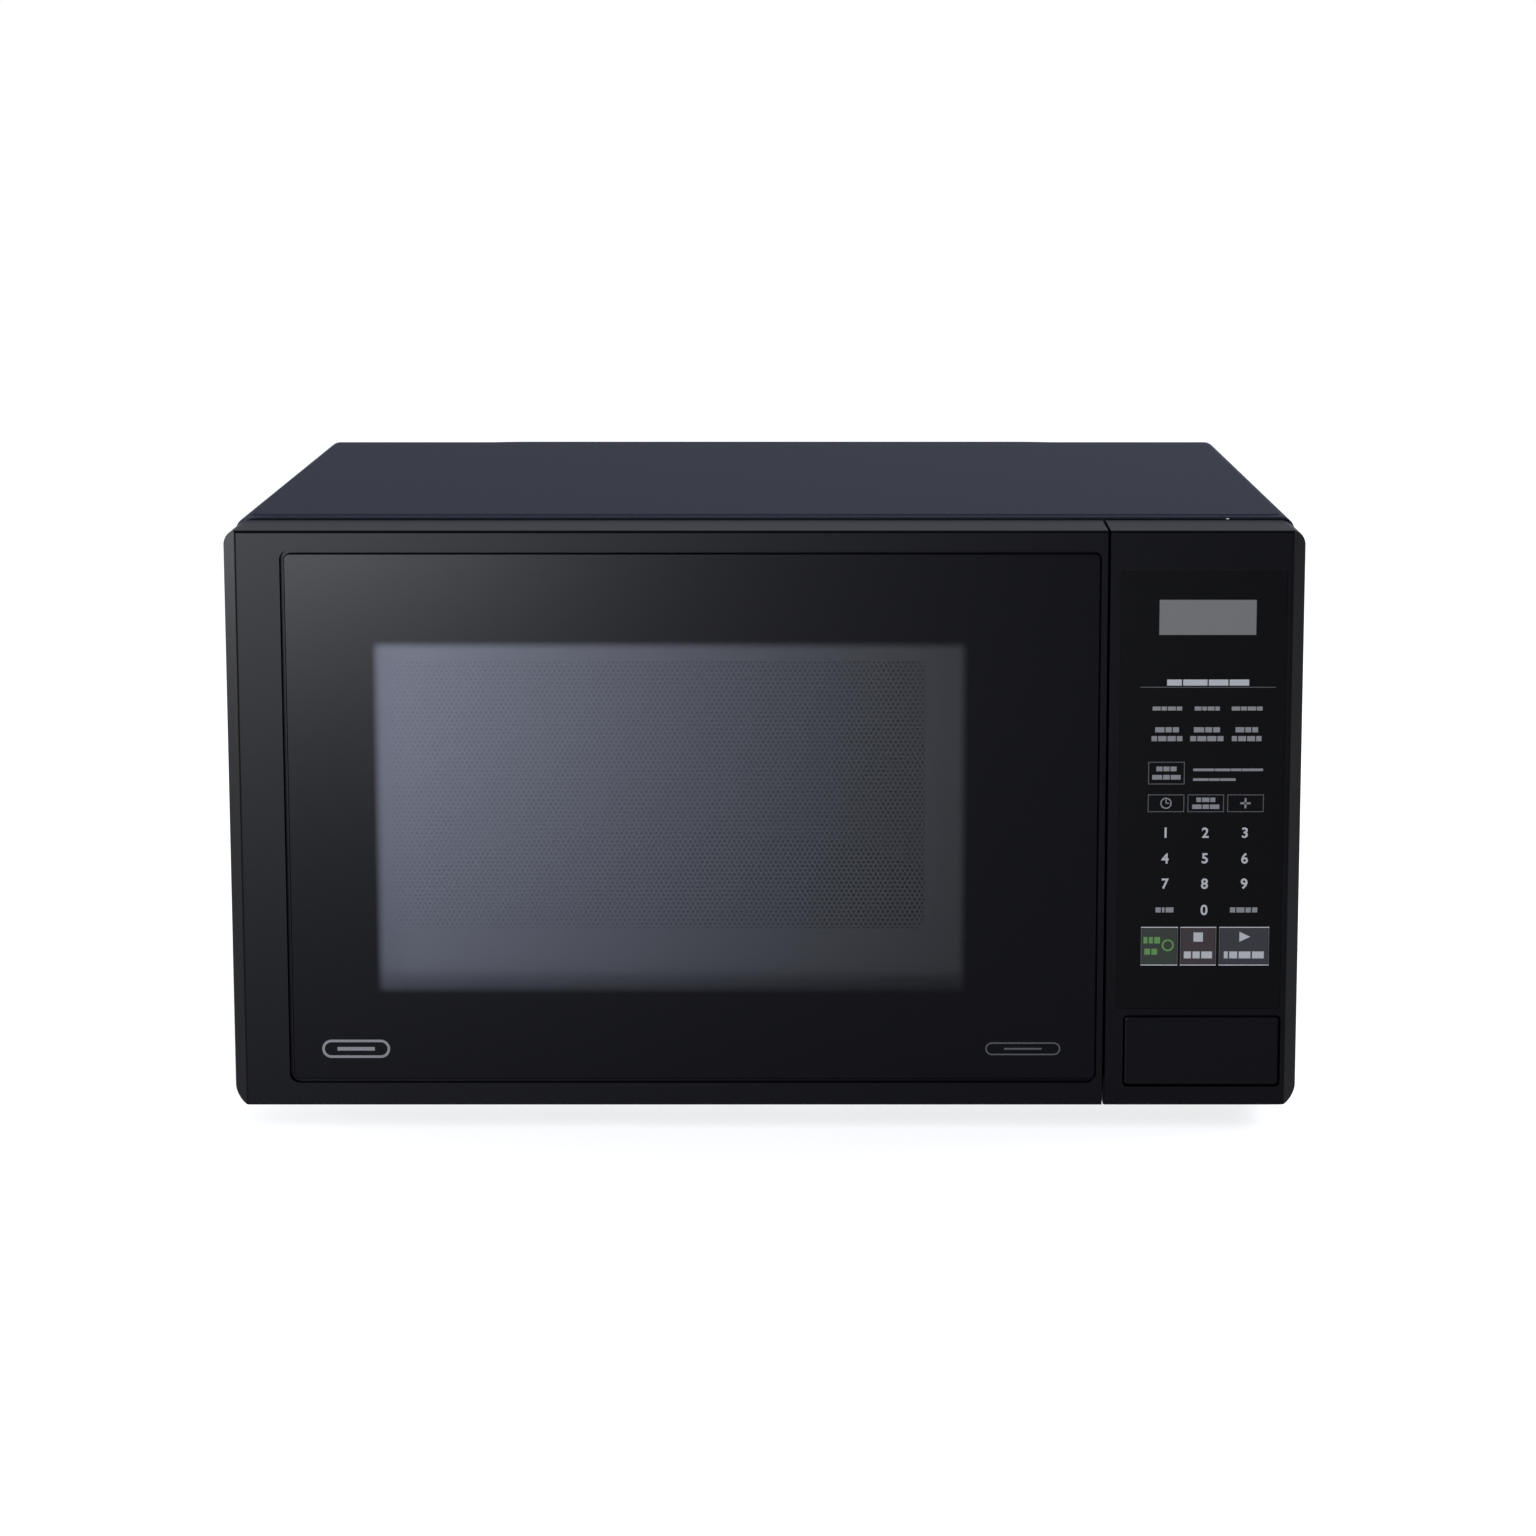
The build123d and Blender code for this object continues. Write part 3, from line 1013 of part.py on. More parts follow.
def magnetron_filter_box():
    x = (YOKE_X[1], YOKE_X[1] + FILTER_D)
    y, z = (MAG_Y - 30, MAG_Y + 30), (MAG_Z - 27, MAG_Z + 27)
    box = block(x, y, z)
    box -= block((x[0] - 1, x[1] - SHEET), grow(y, -SHEET), grow(z, -SHEET))
    return box + block((x[0] + 8, x[0] + 20), (y[0] - 10, y[0]), (MAG_Z - 12, MAG_Z + 12))


# ---- high-voltage supply ----
CORE_AT = (BAY_X[1] - CORE_L / 2 - 6.5, PLATE_Y + 96.0)


def transformer_core():
    """Laminated shell core with two windows, on a welded foot plate."""
    z0 = BASE_TOP + 2.0
    x = (-CORE_L / 2, CORE_L / 2)
    core = block(x, (-CORE_W / 2, CORE_W / 2), (z0, z0 + CORE_H))
    for side in (-1, 1):
        middle = side * CORE_L / 4
        core -= block((middle - 8, middle + 8), (-CORE_W, CORE_W), (z0 + 13, z0 + CORE_H - 13))
    foot = block(grow(x, 4), (-CORE_W / 2 - 4, CORE_W / 2 + 4), (BASE_TOP, z0))
    return Pos(*CORE_AT, 0) * (core + foot)


def transformer_windings():
    """Primary below and secondary above, both around the middle leg."""
    z0 = BASE_TOP + 2.0
    leg = CORE_L / 4 - 8
    inner_x, inner_y = (-leg - 0.4, leg + 0.4), (-CORE_W / 2 - 0.4, CORE_W / 2 + 0.4)
    low, high = z0 + 13.5, z0 + CORE_H - 13.5
    middle = low + 0.45 * (high - low)
    found = []
    for z in ((low, middle - 1), (middle + 1, high)):
        outer = rectangle(grow(inner_x, 14.5), grow(inner_y, 14.5), 10)
        found.append(Pos(*CORE_AT, 0) * thick_z(outer - rectangle(inner_x, inner_y), z))
    return found


CAP_X = sum(BAY_X) / 2
CAP_Z = BASE_TOP + 4.0 + CAP_H / 2
CAP_Y = (BACK_IN - 12.0 - CAP_L, BACK_IN - 12.0)


def hv_capacitor():
    """Oval oil-filled can with two tabs at its front end."""
    can = thick_y(Pos(CAP_X, CAP_Z) * SlotOverall(CAP_W, CAP_H), CAP_Y)
    can = fillet(can.faces().sort_by(Axis.Y)[0].edges(), 1.0)
    for side in (-1, 1):
        x = CAP_X + side * 12
        can += rod_y(x, (CAP_Y[0] - 4, CAP_Y[0] + 1), CAP_Z, 4.5)
        can += block((x - 3, x + 3), (CAP_Y[0] - 11, CAP_Y[0] - 3), (CAP_Z - 0.4, CAP_Z + 0.4))
    return can


def capacitor_clamp():
    """Steel strap around the can, with two feet on the base."""
    y = ((CAP_Y[0] + CAP_Y[1]) / 2 - 9, (CAP_Y[0] + CAP_Y[1]) / 2 + 9)
    outer = Pos(CAP_X, CAP_Z) * SlotOverall(CAP_W + 2 * SHEET + 0.4, CAP_H + 2 * SHEET + 0.4)
    inner = Pos(CAP_X, CAP_Z) * SlotOverall(CAP_W + 0.4, CAP_H + 0.4)
    strap = thick_y(outer - inner, y)
    low = BASE_TOP
    for side in (-1, 1):
        x = CAP_X + side * (CAP_W / 2 + SHEET / 2 + 0.2)
        strap += block((x - SHEET / 2, x + SHEET / 2), y, (low, CAP_Z))
        end = x + side * 10
        strap += block((min(x, end), max(x, end)), y, (low, low + SHEET))
    return strap


def hv_diode():
    y, z = CAP_Y[0] - 26.0, BASE_TOP + 12.0
    body = rod_x((CAP_X - 12, CAP_X + 12), y, z, 4.0)
    lead = rod_x((CAP_X - 28, CAP_X + 28), y, z, 0.8)
    tag = block((CAP_X + 27, CAP_X + 28), (y - 4, y + 4), (BASE_TOP, z + 4))
    return body + lead + tag


def filter_board():
    """Mains filter on a small board under the case's top, with choke and capacitor below it."""
    x = (BAY_X[1] - 72.0, BAY_X[1] - 6.0)
    y = (PLATE_Y + 20.0, PLATE_Y + 82.0)
    z = HEIGHT - 24.0
    board = block(x, y, (z, z + BOARD_T))
    board += rod_z(x[0] + 20, y[0] + 20, (z - 14, z), 13) - rod_z(x[0] + 20, y[0] + 20, (z - 15, z), 5)
    board += block((x[0] + 38, x[0] + 62), (y[0] + 8, y[0] + 20), (z - 16, z))
    board += rod_x((x[0] + 36, x[0] + 60), y[0] + 44, z - 5, 4)
    for px in (x[0] + 4, x[1] - 4):
        board += rod_z(px, y[1] - 4, (z + BOARD_T, SEAT_TOP - 3), 2.5)
    return board


# ---- fan, on an axis along Y ----
DUCT_FRONT = MAG_Y + YOKE_W / 2 + 2.0


def fan_shroud():
    """Moulded duct from the fan to the magnetron's fins."""
    radius = FAN_R + FAN_TIP_GAP
    plate_y = (FAN_Y - 2.0, FAN_Y + 1.0)
    half = radius + SHROUD_RIM
    x, z = (FAN_X - half, FAN_X + half), (FAN_Z - half, FAN_Z + half)
    plate = block(x, plate_y, z)
    duct_x, duct_z = grow(x, -3), grow(z, -3)
    duct = block(duct_x, (DUCT_FRONT, plate_y[0] + 1), duct_z)
    duct -= block(grow(duct_x, -1.6), (DUCT_FRONT - 1, plate_y[0]), grow(duct_z, -1.6))
    body = plate + duct
    collar = rod_y(FAN_X, (plate_y[0], FAN_Y + FAN_T - 2), FAN_Z, radius + 2)
    body += collar
    return body - rod_y(FAN_X, (plate_y[0] - 1, FAN_Y + FAN_T), FAN_Z, radius)


def fan_blade():
    hub = rod_y(FAN_X, (FAN_Y, FAN_Y + FAN_T), FAN_Z, FAN_HUB_R)
    blade = Rot(38, 0, 0) * block((FAN_HUB_R - 2, FAN_R - 1), (-0.8, 0.8), (-9, 9))
    blade &= rod_y(0, (-FAN_T / 2 + 1, FAN_T / 2 - 1), 0, FAN_R)
    for k in range(FAN_BLADES):
        hub += Pos(FAN_X, FAN_Y + FAN_T / 2, FAN_Z) * Rot(0, 360 / FAN_BLADES * k, 0) * blade
    return hub - rod_y(FAN_X, (FAN_Y - 1, FAN_Y + FAN_T + 1), FAN_Z, FAN_SHAFT_R)


STATOR_Y = (FAN_Y + FAN_T + 5.0, FAN_Y + FAN_T + 5.0 + STATOR_T)


def fan_rotor():
    shaft = rod_y(FAN_X, (FAN_Y + 0.5, STATOR_Y[1] + 3), FAN_Z, FAN_SHAFT_R)
    return shaft + rod_y(FAN_X, STATOR_Y, FAN_Z, ROTOR_R)


def fan_stator():
    """Laminated frame around the rotor, its winding leg below."""
    x = (FAN_X - 27, FAN_X + 27)
    frame = block(x, STATOR_Y, (FAN_Z - 46, FAN_Z + 18))
    frame -= block(grow(x, -14), grow(STATOR_Y, 1), (FAN_Z - 34, FAN_Z - 20))
    return frame - rod_y(FAN_X, grow(STATOR_Y, 1), FAN_Z, ROTOR_R + ROTOR_FIT)


def fan_coil():
    z = (FAN_Z - 46 - 4, FAN_Z - 34 + 12)
    coil_block = block((FAN_X - 12.5, FAN_X + 12.5), grow(STATOR_Y, 6), z)
    return coil_block - block((FAN_X - 14, FAN_X + 14), grow(STATOR_Y, 0.2), (FAN_Z - 46.2, FAN_Z - 33.8))


# ---- lamp and cut-outs ----
def lamp_holder():
    x = (BAY_X[0], BAY_X[0] + 30)
    y, z = (LAMP_Y - LAMP_HALF, LAMP_Y + LAMP_HALF), (LAMP_Z - LAMP_HALF, LAMP_Z + LAMP_HALF)
    box = block(x, y, z)
    return box - block((x[0] - 1, x[1] - 1.6), grow(y, -1.6), grow(z, -1.6))


def cavity_lamp():
    """Bulb with its base in the holder's end wall."""
    end = 25.4
    dome = ThreePointArc((0, 0), (2.64, 6.36), (9, 9))
    waist = ThreePointArc((9, 9), (13.5, 7.79), (15.7, 6))
    base = Polyline((15.7, 6), (end, 6), (end, 0), (0, 0))
    bulb = revolve(make_face([dome, waist, base]), Axis.X)
    return Pos(BAY_X[0] + 3, LAMP_Y, LAMP_Z) * bulb


def thermal_cutouts():
    """Button thermostats on the cavity's ceiling and on the magnetron."""
    found = []
    places = [(CAV_X[1] - 40, CAV_MID_Y, CAV_Z[1] + SHEET), (sum(YOKE_X) / 2, MAG_Y, MAG_Z + YOKE_H / 2)]
    for x, y, z in places:
        cutout = rod_z(x, y, (z, z + 1), 12) + rod_z(x, y, (z, z + 8), 8)
        found.append(cutout)
    return found


PARTS = {
    "outer_case": outer_case,
    "back_plate": back_plate,
    "base_plate": base_plate,
    "feet": feet,
    "screws": screws,
    "cord_gland": cord_gland,
    "front_plate": front_plate,
    "oven_cavity": oven_cavity,
    "waveguide_cover": waveguide_cover,
    "waveguide": waveguide,
    "glass_tray": glass_tray,
    "drive_coupler": drive_coupler,
    "motor_shaft": motor_shaft,
    "turntable_motor": turntable_motor,
    "roller_ring": roller_ring,
    "roller_1": lambda: roller(0),
    "roller_2": lambda: roller(1),
    "roller_3": lambda: roller(2),
    "door_frame": door_frame,
    "front_window": front_window,
    "door_panel": door_panel,
    "door_screen": door_screen,
    "inner_window": inner_window,
    "choke_cover": choke_cover,
    "lower_hinge": lambda: hinge(TAB_LOW, True),
    "upper_hinge": lambda: hinge(TAB_HIGH, False),
    "door_latch": door_latch,
    "latch_spring": latch_spring,
    "latch_board": latch_board,
    "open_lever": open_lever,
    "interlock_switches": interlock_switches,
    "primary_plunger": lambda: plunger("primary"),
    "secondary_plunger": lambda: plunger("secondary"),
    "monitor_plunger": lambda: plunger("monitor"),
    "panel_housing": panel_housing,
    "door_button": door_button,
    "button_spring": button_spring,
    "key_membrane": key_membrane,
    "display_lens": display_lens,
    "control_board": control_board,
    "board_components": board_components,
    "magnetron_yoke": magnetron_yoke,
    "magnetron_magnets": magnetron_magnets,
    "magnetron_anode": magnetron_anode,
    "magnetron_fins": magnetron_fins,
    "magnetron_filter_box": magnetron_filter_box,
    "transformer_core": transformer_core,
    "transformer_windings": transformer_windings,
    "hv_capacitor": hv_capacitor,
    "capacitor_clamp": capacitor_clamp,
    "hv_diode": hv_diode,
    "filter_board": filter_board,
    "fan_shroud": fan_shroud,
    "fan_blade": fan_blade,
    "fan_rotor": fan_rotor,
    "fan_stator": fan_stator,
    "fan_coil": fan_coil,
    "lamp_holder": lamp_holder,
    "cavity_lamp": cavity_lamp,
    "thermal_cutouts": thermal_cutouts,
}

os.makedirs("parts", exist_ok=True)
for name, make in PARTS.items():
    shape = make()
    if isinstance(shape, (list, ShapeList)):
        shape = Compound(children=[Compound(children=list(s.solids())) for s in shape])
    export_step(shape, f"parts/{name}.step")
print(len(PARTS), "nodes")
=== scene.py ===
import math

import bpy
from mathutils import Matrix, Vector


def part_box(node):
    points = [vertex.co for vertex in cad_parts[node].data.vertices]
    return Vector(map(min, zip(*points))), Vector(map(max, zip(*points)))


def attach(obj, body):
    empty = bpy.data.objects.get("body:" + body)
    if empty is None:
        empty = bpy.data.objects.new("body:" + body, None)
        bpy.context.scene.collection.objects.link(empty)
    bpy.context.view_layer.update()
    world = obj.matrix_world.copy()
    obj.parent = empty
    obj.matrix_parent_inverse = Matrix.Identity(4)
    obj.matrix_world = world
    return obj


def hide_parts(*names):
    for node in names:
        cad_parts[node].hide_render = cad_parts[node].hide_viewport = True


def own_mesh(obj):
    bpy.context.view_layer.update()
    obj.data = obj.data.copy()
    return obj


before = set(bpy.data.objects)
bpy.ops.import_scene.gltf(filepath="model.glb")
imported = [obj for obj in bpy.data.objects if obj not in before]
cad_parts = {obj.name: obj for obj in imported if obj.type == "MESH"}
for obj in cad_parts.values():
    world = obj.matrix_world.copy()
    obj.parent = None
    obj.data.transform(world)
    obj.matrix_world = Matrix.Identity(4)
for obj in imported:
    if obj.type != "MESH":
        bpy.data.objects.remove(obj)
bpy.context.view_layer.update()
mm = 0.001
fullTurn = 2 * math.pi
print("frame loaded:", len(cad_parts), "nodes")


class Wire:
    # a node's output that takes part in an expression
    def __init__(self, finish, socket):
        self.finish = finish
        self.socket = socket

    def math(self, operation, *values):
        node = self.finish.add("ShaderNodeMath", {"operation": operation}, dict(enumerate(values)))
        return Wire(self.finish, node.outputs[0])

    def __add__(self, other):
        return self.math("ADD", self, other)

    def __sub__(self, other):
        return self.math("SUBTRACT", self, other)

    def __rsub__(self, other):
        return self.math("SUBTRACT", other, self)

    def __mul__(self, other):
        return self.math("MULTIPLY", self, other)

    def __truediv__(self, other):
        return self.math("DIVIDE", self, other)

    def __rtruediv__(self, other):
        return self.math("DIVIDE", other, self)

    __radd__ = __add__
    __rmul__ = __mul__

    def __abs__(self):
        return self.math("ABSOLUTE", self)

    def power(self, exponent):
        return self.math("POWER", self, exponent)

    def sine(self):
        return self.math("SINE", self)

    def larger(self, other):
        return self.math("MAXIMUM", self, other)

    def soft(self, low, high):
        # 0 below low, 1 above high, and smooth between
        ends = {"Value": self, "From Min": low, "From Max": high}
        node = self.finish.add("ShaderNodeMapRange", {"interpolation_type": "SMOOTHSTEP"}, ends)
        return Wire(self.finish, node.outputs["Result"])


class Finish:
    # one material, its shader, and the method that adds every other node
    def __init__(self, name):
        self.material = bpy.data.materials.new(name)
        self.material.use_nodes = True
        self.tree = self.material.node_tree
        self.shader = self.tree.nodes["Principled BSDF"]

    def add(self, kind, settings, sockets):
        node = self.tree.nodes.new(kind)
        for key, value in settings.items():
            setattr(node, key, value)
        for key, value in sockets.items():
            self.feed(node.inputs[key], value)
        return node

    def feed(self, socket, value):
        if isinstance(value, Wire):
            self.tree.links.new(value.socket, socket)
        elif isinstance(value, tuple) and len(value) == 3 and socket.type == "RGBA":
            socket.default_value = (*value, 1)
        else:
            socket.default_value = value

    def set(self, **values):
        for key, value in values.items():
            self.feed(self.shader.inputs[socketNames[key]], value)
        return self

    def spot(self):
        # the surface point in metres, in the oven's own frame
        return Wire(self, self.add("ShaderNodeTexCoord", {}, {}).outputs["Object"])

    def places(self):
        split = self.add("ShaderNodeSeparateXYZ", {}, {0: self.spot()})
        return [Wire(self, output) for output in split.outputs]

    def noise(self, scale, detail):
        sockets = {"Vector": self.spot(), "Scale": scale, "Detail": detail}
        return Wire(self, self.add("ShaderNodeTexNoise", {}, sockets).outputs["Fac"])

    def blend(self, amount, first, second):
        mix = self.add("ShaderNodeMix", {"data_type": "RGBA"}, {"Factor": amount})
        colourIn = [s for s in mix.inputs if s.type == "RGBA"]
        self.feed(colourIn[0], first)
        self.feed(colourIn[1], second)
        return Wire(self, [s for s in mix.outputs if s.type == "RGBA"][0])

    def grain(self, height, strength, distance):
        # distance is the relief's depth in metres
        sockets = {"Height": height, "Strength": strength, "Distance": distance}
        return self.set(normal=Wire(self, self.add("ShaderNodeBump", {}, sockets).outputs["Normal"]))


socketNames = {
    "colour": "Base Color",
    "rough": "Roughness",
    "metal": "Metallic",
    "specular": "Specular IOR Level",
    "clear": "Transmission Weight",
    "index": "IOR",
    "alpha": "Alpha",
    "glow": "Emission Color",
    "glowStrength": "Emission Strength",
    "normal": "Normal",
}

# plain finishes: linear colour, roughness, metal and specular
plainLooks = {
    "backPaint": ((0.045, 0.046, 0.050), 0.50, 0.0, 0.35),
    "footRubber": ((0.012, 0.012, 0.012), 0.75, 0.0, 0.3),
    "screwZinc": ((0.32, 0.32, 0.33), 0.35, 1.0, 0.5),
    "glandNylon": ((0.014, 0.014, 0.015), 0.45, 0.0, 0.4),
    "mica": ((0.40, 0.34, 0.26), 0.45, 0.0, 0.4),
    "couplerMoulding": ((0.62, 0.60, 0.55), 0.45, 0.0, 0.4),
    "rollerMoulding": ((0.70, 0.69, 0.65), 0.40, 0.0, 0.4),
    "turnedSteel": ((0.55, 0.55, 0.56), 0.25, 1.0, 0.5),
    "chokeBlack": ((0.013, 0.013, 0.014), 0.42, 0.0, 0.4),
    "latchAcetal": ((0.62, 0.61, 0.57), 0.40, 0.0, 0.4),
    "springWire": ((0.45, 0.45, 0.46), 0.30, 1.0, 0.5),
    "carrierMoulding": ((0.52, 0.52, 0.50), 0.50, 0.0, 0.4),
    "switchCase": ((0.02, 0.02, 0.022), 0.45, 0.0, 0.4),
    "plungerRed": ((0.42, 0.03, 0.02), 0.40, 0.0, 0.4),
    "circuitBoard": ((0.03, 0.12, 0.04), 0.45, 0.0, 0.5),
    "boardParts": ((0.05, 0.05, 0.06), 0.45, 0.0, 0.4),
    "ferrite": ((0.03, 0.03, 0.03), 0.60, 0.0, 0.4),
    "copper": ((0.72, 0.36, 0.22), 0.30, 1.0, 0.5),
    "finAluminium": ((0.70, 0.71, 0.72), 0.35, 1.0, 0.5),
    "canAluminium": ((0.62, 0.63, 0.64), 0.32, 1.0, 0.5),
    "ductMoulding": ((0.45, 0.46, 0.47), 0.50, 0.0, 0.4),
    "fanMoulding": ((0.50, 0.51, 0.52), 0.45, 0.0, 0.4),
    "legendInk": ((0.150, 0.152, 0.158), 0.55, 0.0, 0.2),
    "smallInk": ((0.070, 0.071, 0.075), 0.55, 0.0, 0.2),
    "faintInk": ((0.020, 0.021, 0.025), 0.55, 0.0, 0.2),
    "greenInk": ((0.030, 0.085, 0.016), 0.55, 0.0, 0.2),
    "greenTint": ((0.0014, 0.0046, 0.0011), 0.55, 0.0, 0.2),
    "redTint": ((0.0060, 0.0018, 0.0030), 0.55, 0.0, 0.2),
    "blueTint": ((0.0028, 0.0036, 0.0062), 0.55, 0.0, 0.2),
    "badgeSilver": ((0.050, 0.050, 0.054), 0.40, 0.2, 0.3),
}
# films, paint and clear pieces; clear is how much light goes through
smoothLooks = {
    "keyFilm": {"colour": (0.0007, 0.0007, 0.0009), "rough": 0.40, "specular": 0.03},
    "displayTint": {"colour": (0.062, 0.062, 0.062), "rough": 0.40, "specular": 0.05},
    "screenPaint": {"colour": (0.17, 0.173, 0.19), "rough": 0.45, "specular": 0.3},
    "trayGlass": {"colour": (0.93, 0.98, 0.97), "rough": 0.03, "index": 1.5, "clear": 1.0},
    "clearFilm": {"colour": (0.5, 0.5, 0.51), "rough": 0.05, "index": 1.02, "clear": 1.0},
    "bulbGlass": {"colour": (1.0, 0.98, 0.95), "rough": 0.02, "index": 1.45, "clear": 1.0},
}


def plainFinish(name):
    colour, rough, metal, specular = plainLooks[name]
    return Finish(name).set(colour=colour, rough=rough, metal=metal, specular=specular)


# blue-black powder coat with a fine grain
powderCoat = {
    "colour": (0.022, 0.0245, 0.037), "rough": 0.50, "specular": 0.03,
    "grain": 2600, "detail": 3, "relief": 0.5, "depth": 0.00004,
}


def makePowderCoat():
    finish = Finish("powderCoat")
    speckle = finish.noise(powderCoat["grain"], powderCoat["detail"])
    finish.set(colour=powderCoat["colour"], rough=powderCoat["rough"], specular=powderCoat["specular"])
    return finish.grain(speckle, powderCoat["relief"], powderCoat["depth"])


# satin black moulding of the door and the panel
satinBlack = {
    "colour": (0.0008, 0.0008, 0.0016), "rough": 0.32, "roughSpread": 0.06, "specular": 0.04,
    "grain": 5200, "detail": 2, "relief": 0.25, "depth": 0.000008,
}


def makeSatinBlack():
    finish = Finish("satinBlack")
    fine = finish.noise(satinBlack["grain"], satinBlack["detail"])
    finish.set(colour=satinBlack["colour"], specular=satinBlack["specular"])
    finish.set(rough=fine * satinBlack["roughSpread"] + satinBlack["rough"])
    return finish.grain(fine, satinBlack["relief"], satinBlack["depth"])


# galvanised sheet in pale and dark blotches
spangle = {
    "pale": (0.52, 0.53, 0.54), "dark": (0.36, 0.37, 0.38), "scale": 90, "detail": 1,
    "edges": (0.42, 0.58), "rough": 0.36, "roughSpread": 0.12,
}


def makeSpangle():
    finish = Finish("galvanised")
    blotch = finish.noise(spangle["scale"], spangle["detail"]).soft(*spangle["edges"])
    finish.set(colour=finish.blend(blotch, spangle["dark"], spangle["pale"]), metal=1.0)
    return finish.set(rough=blotch * spangle["roughSpread"] + spangle["rough"])


# light grey enamel with dark flecks
cavityEnamel = {
    "colour": (0.46, 0.47, 0.47), "fleck": (0.13, 0.13, 0.14), "scale": 1500, "detail": 1,
    "edges": (0.66, 0.72), "rough": 0.28, "specular": 0.5,
}


def makeCavityEnamel():
    finish = Finish("cavityEnamel")
    fleck = finish.noise(cavityEnamel["scale"], cavityEnamel["detail"]).soft(*cavityEnamel["edges"])
    finish.set(colour=finish.blend(fleck, cavityEnamel["colour"], cavityEnamel["fleck"]))
    return finish.set(rough=cavityEnamel["rough"], specular=cavityEnamel["specular"])


# lacquered wire wound round z, and core sheets stacked along y
windingLacquer = {
    "colour": (0.36, 0.13, 0.04), "rough": 0.35,
    "along": 2, "perMetre": 900, "relief": 0.5, "depth": 0.0002,
}
coreSheets = {
    "colour": (0.05, 0.05, 0.055), "rough": 0.45,
    "along": 1, "perMetre": 1500, "relief": 0.4, "depth": 0.0001,
}


def makeRidged(name, look):
    # even ridges along one of the oven's axes
    finish = Finish(name).set(colour=look["colour"], rough=look["rough"])
    ridge = (finish.places()[look["along"]] * look["perMetre"] * fullTurn).sine()
    return finish.grain(ridge, look["relief"], look["depth"])


# front pane: a black printed border round a smoked see-through field with a soft edge; the field's colour
# carries painted light and shade
pane = {
    "left": -163.2, "right": 83.8, "low": 61.1, "high": 209.3, "edge": 5.0,
    "border": (0.0008, 0.0008, 0.0017), "shade": (0.004, 0.004, 0.005),
    # the two side colours are painted light from the left and painted shade on the right; shade is
    # painted shade along the bottom
    "paintedLitSide": (0.080, 0.086, 0.108), "paintedShadedSide": (0.014, 0.0145, 0.016),
    "haze": 0.58, "rough": 0.27, "specular": 0.04,
    "sideFall": 1.4, "rise": (-0.3, 0.9), "riseShare": 0.5, "strip": (0.0, 0.085), "stripShare": 0.45,
}


def makePane():
    finish = Finish("smokedPanePaintedLight")
    x, y, z = finish.places()
    across = (pane["right"] - pane["left"]) * mm
    tall = (pane["high"] - pane["low"]) * mm
    fromLeft = (x - pane["left"] * mm) / across
    fromLow = (z - pane["low"] * mm) / tall
    edge = pane["edge"] * mm
    centreX = (pane["left"] + pane["right"]) / 2 * mm
    centreZ = (pane["low"] + pane["high"]) / 2 * mm
    sideways = (across / 2 - abs(x - centreX)).soft(-edge / 2, edge / 2)
    upright = (tall / 2 - abs(z - centreZ)).soft(-edge / 2, edge / 2)
    field = sideways * upright
    # painted light and shade: paler up and to the left where the lamps fall, with a painted shade strip
    # along the lower edge
    leftness = (1 - fromLeft).larger(0.0).power(pane["sideFall"])
    upness = fromLow.soft(*pane["rise"]) * pane["riseShare"] + (1 - pane["riseShare"])
    aboveStrip = fromLow.soft(*pane["strip"]) * pane["stripShare"] + (1 - pane["stripShare"])
    paintedSideLight = finish.blend(leftness, pane["paintedShadedSide"], pane["paintedLitSide"])
    tint = finish.blend(upness * aboveStrip, pane["shade"], paintedSideLight)
    finish.set(colour=finish.blend(field, pane["border"], tint))
    finish.set(alpha=1 - field * (1 - pane["haze"]), rough=pane["rough"], specular=pane["specular"])
    return finish


finishes = {name: plainFinish(name) for name in plainLooks}
finishes.update({name: Finish(name).set(**look) for name, look in smoothLooks.items()})
finishes["powderCoat"] = makePowderCoat()
finishes["satinBlack"] = makeSatinBlack()
finishes["galvanised"] = makeSpangle()
finishes["cavityEnamel"] = makeCavityEnamel()
finishes["windingLacquer"] = makeRidged("windingLacquer", windingLacquer)
finishes["coreSheets"] = makeRidged("coreSheets", coreSheets)
finishes["smokedPanePaintedLight"] = makePane()
print("finishes made:", len(finishes))

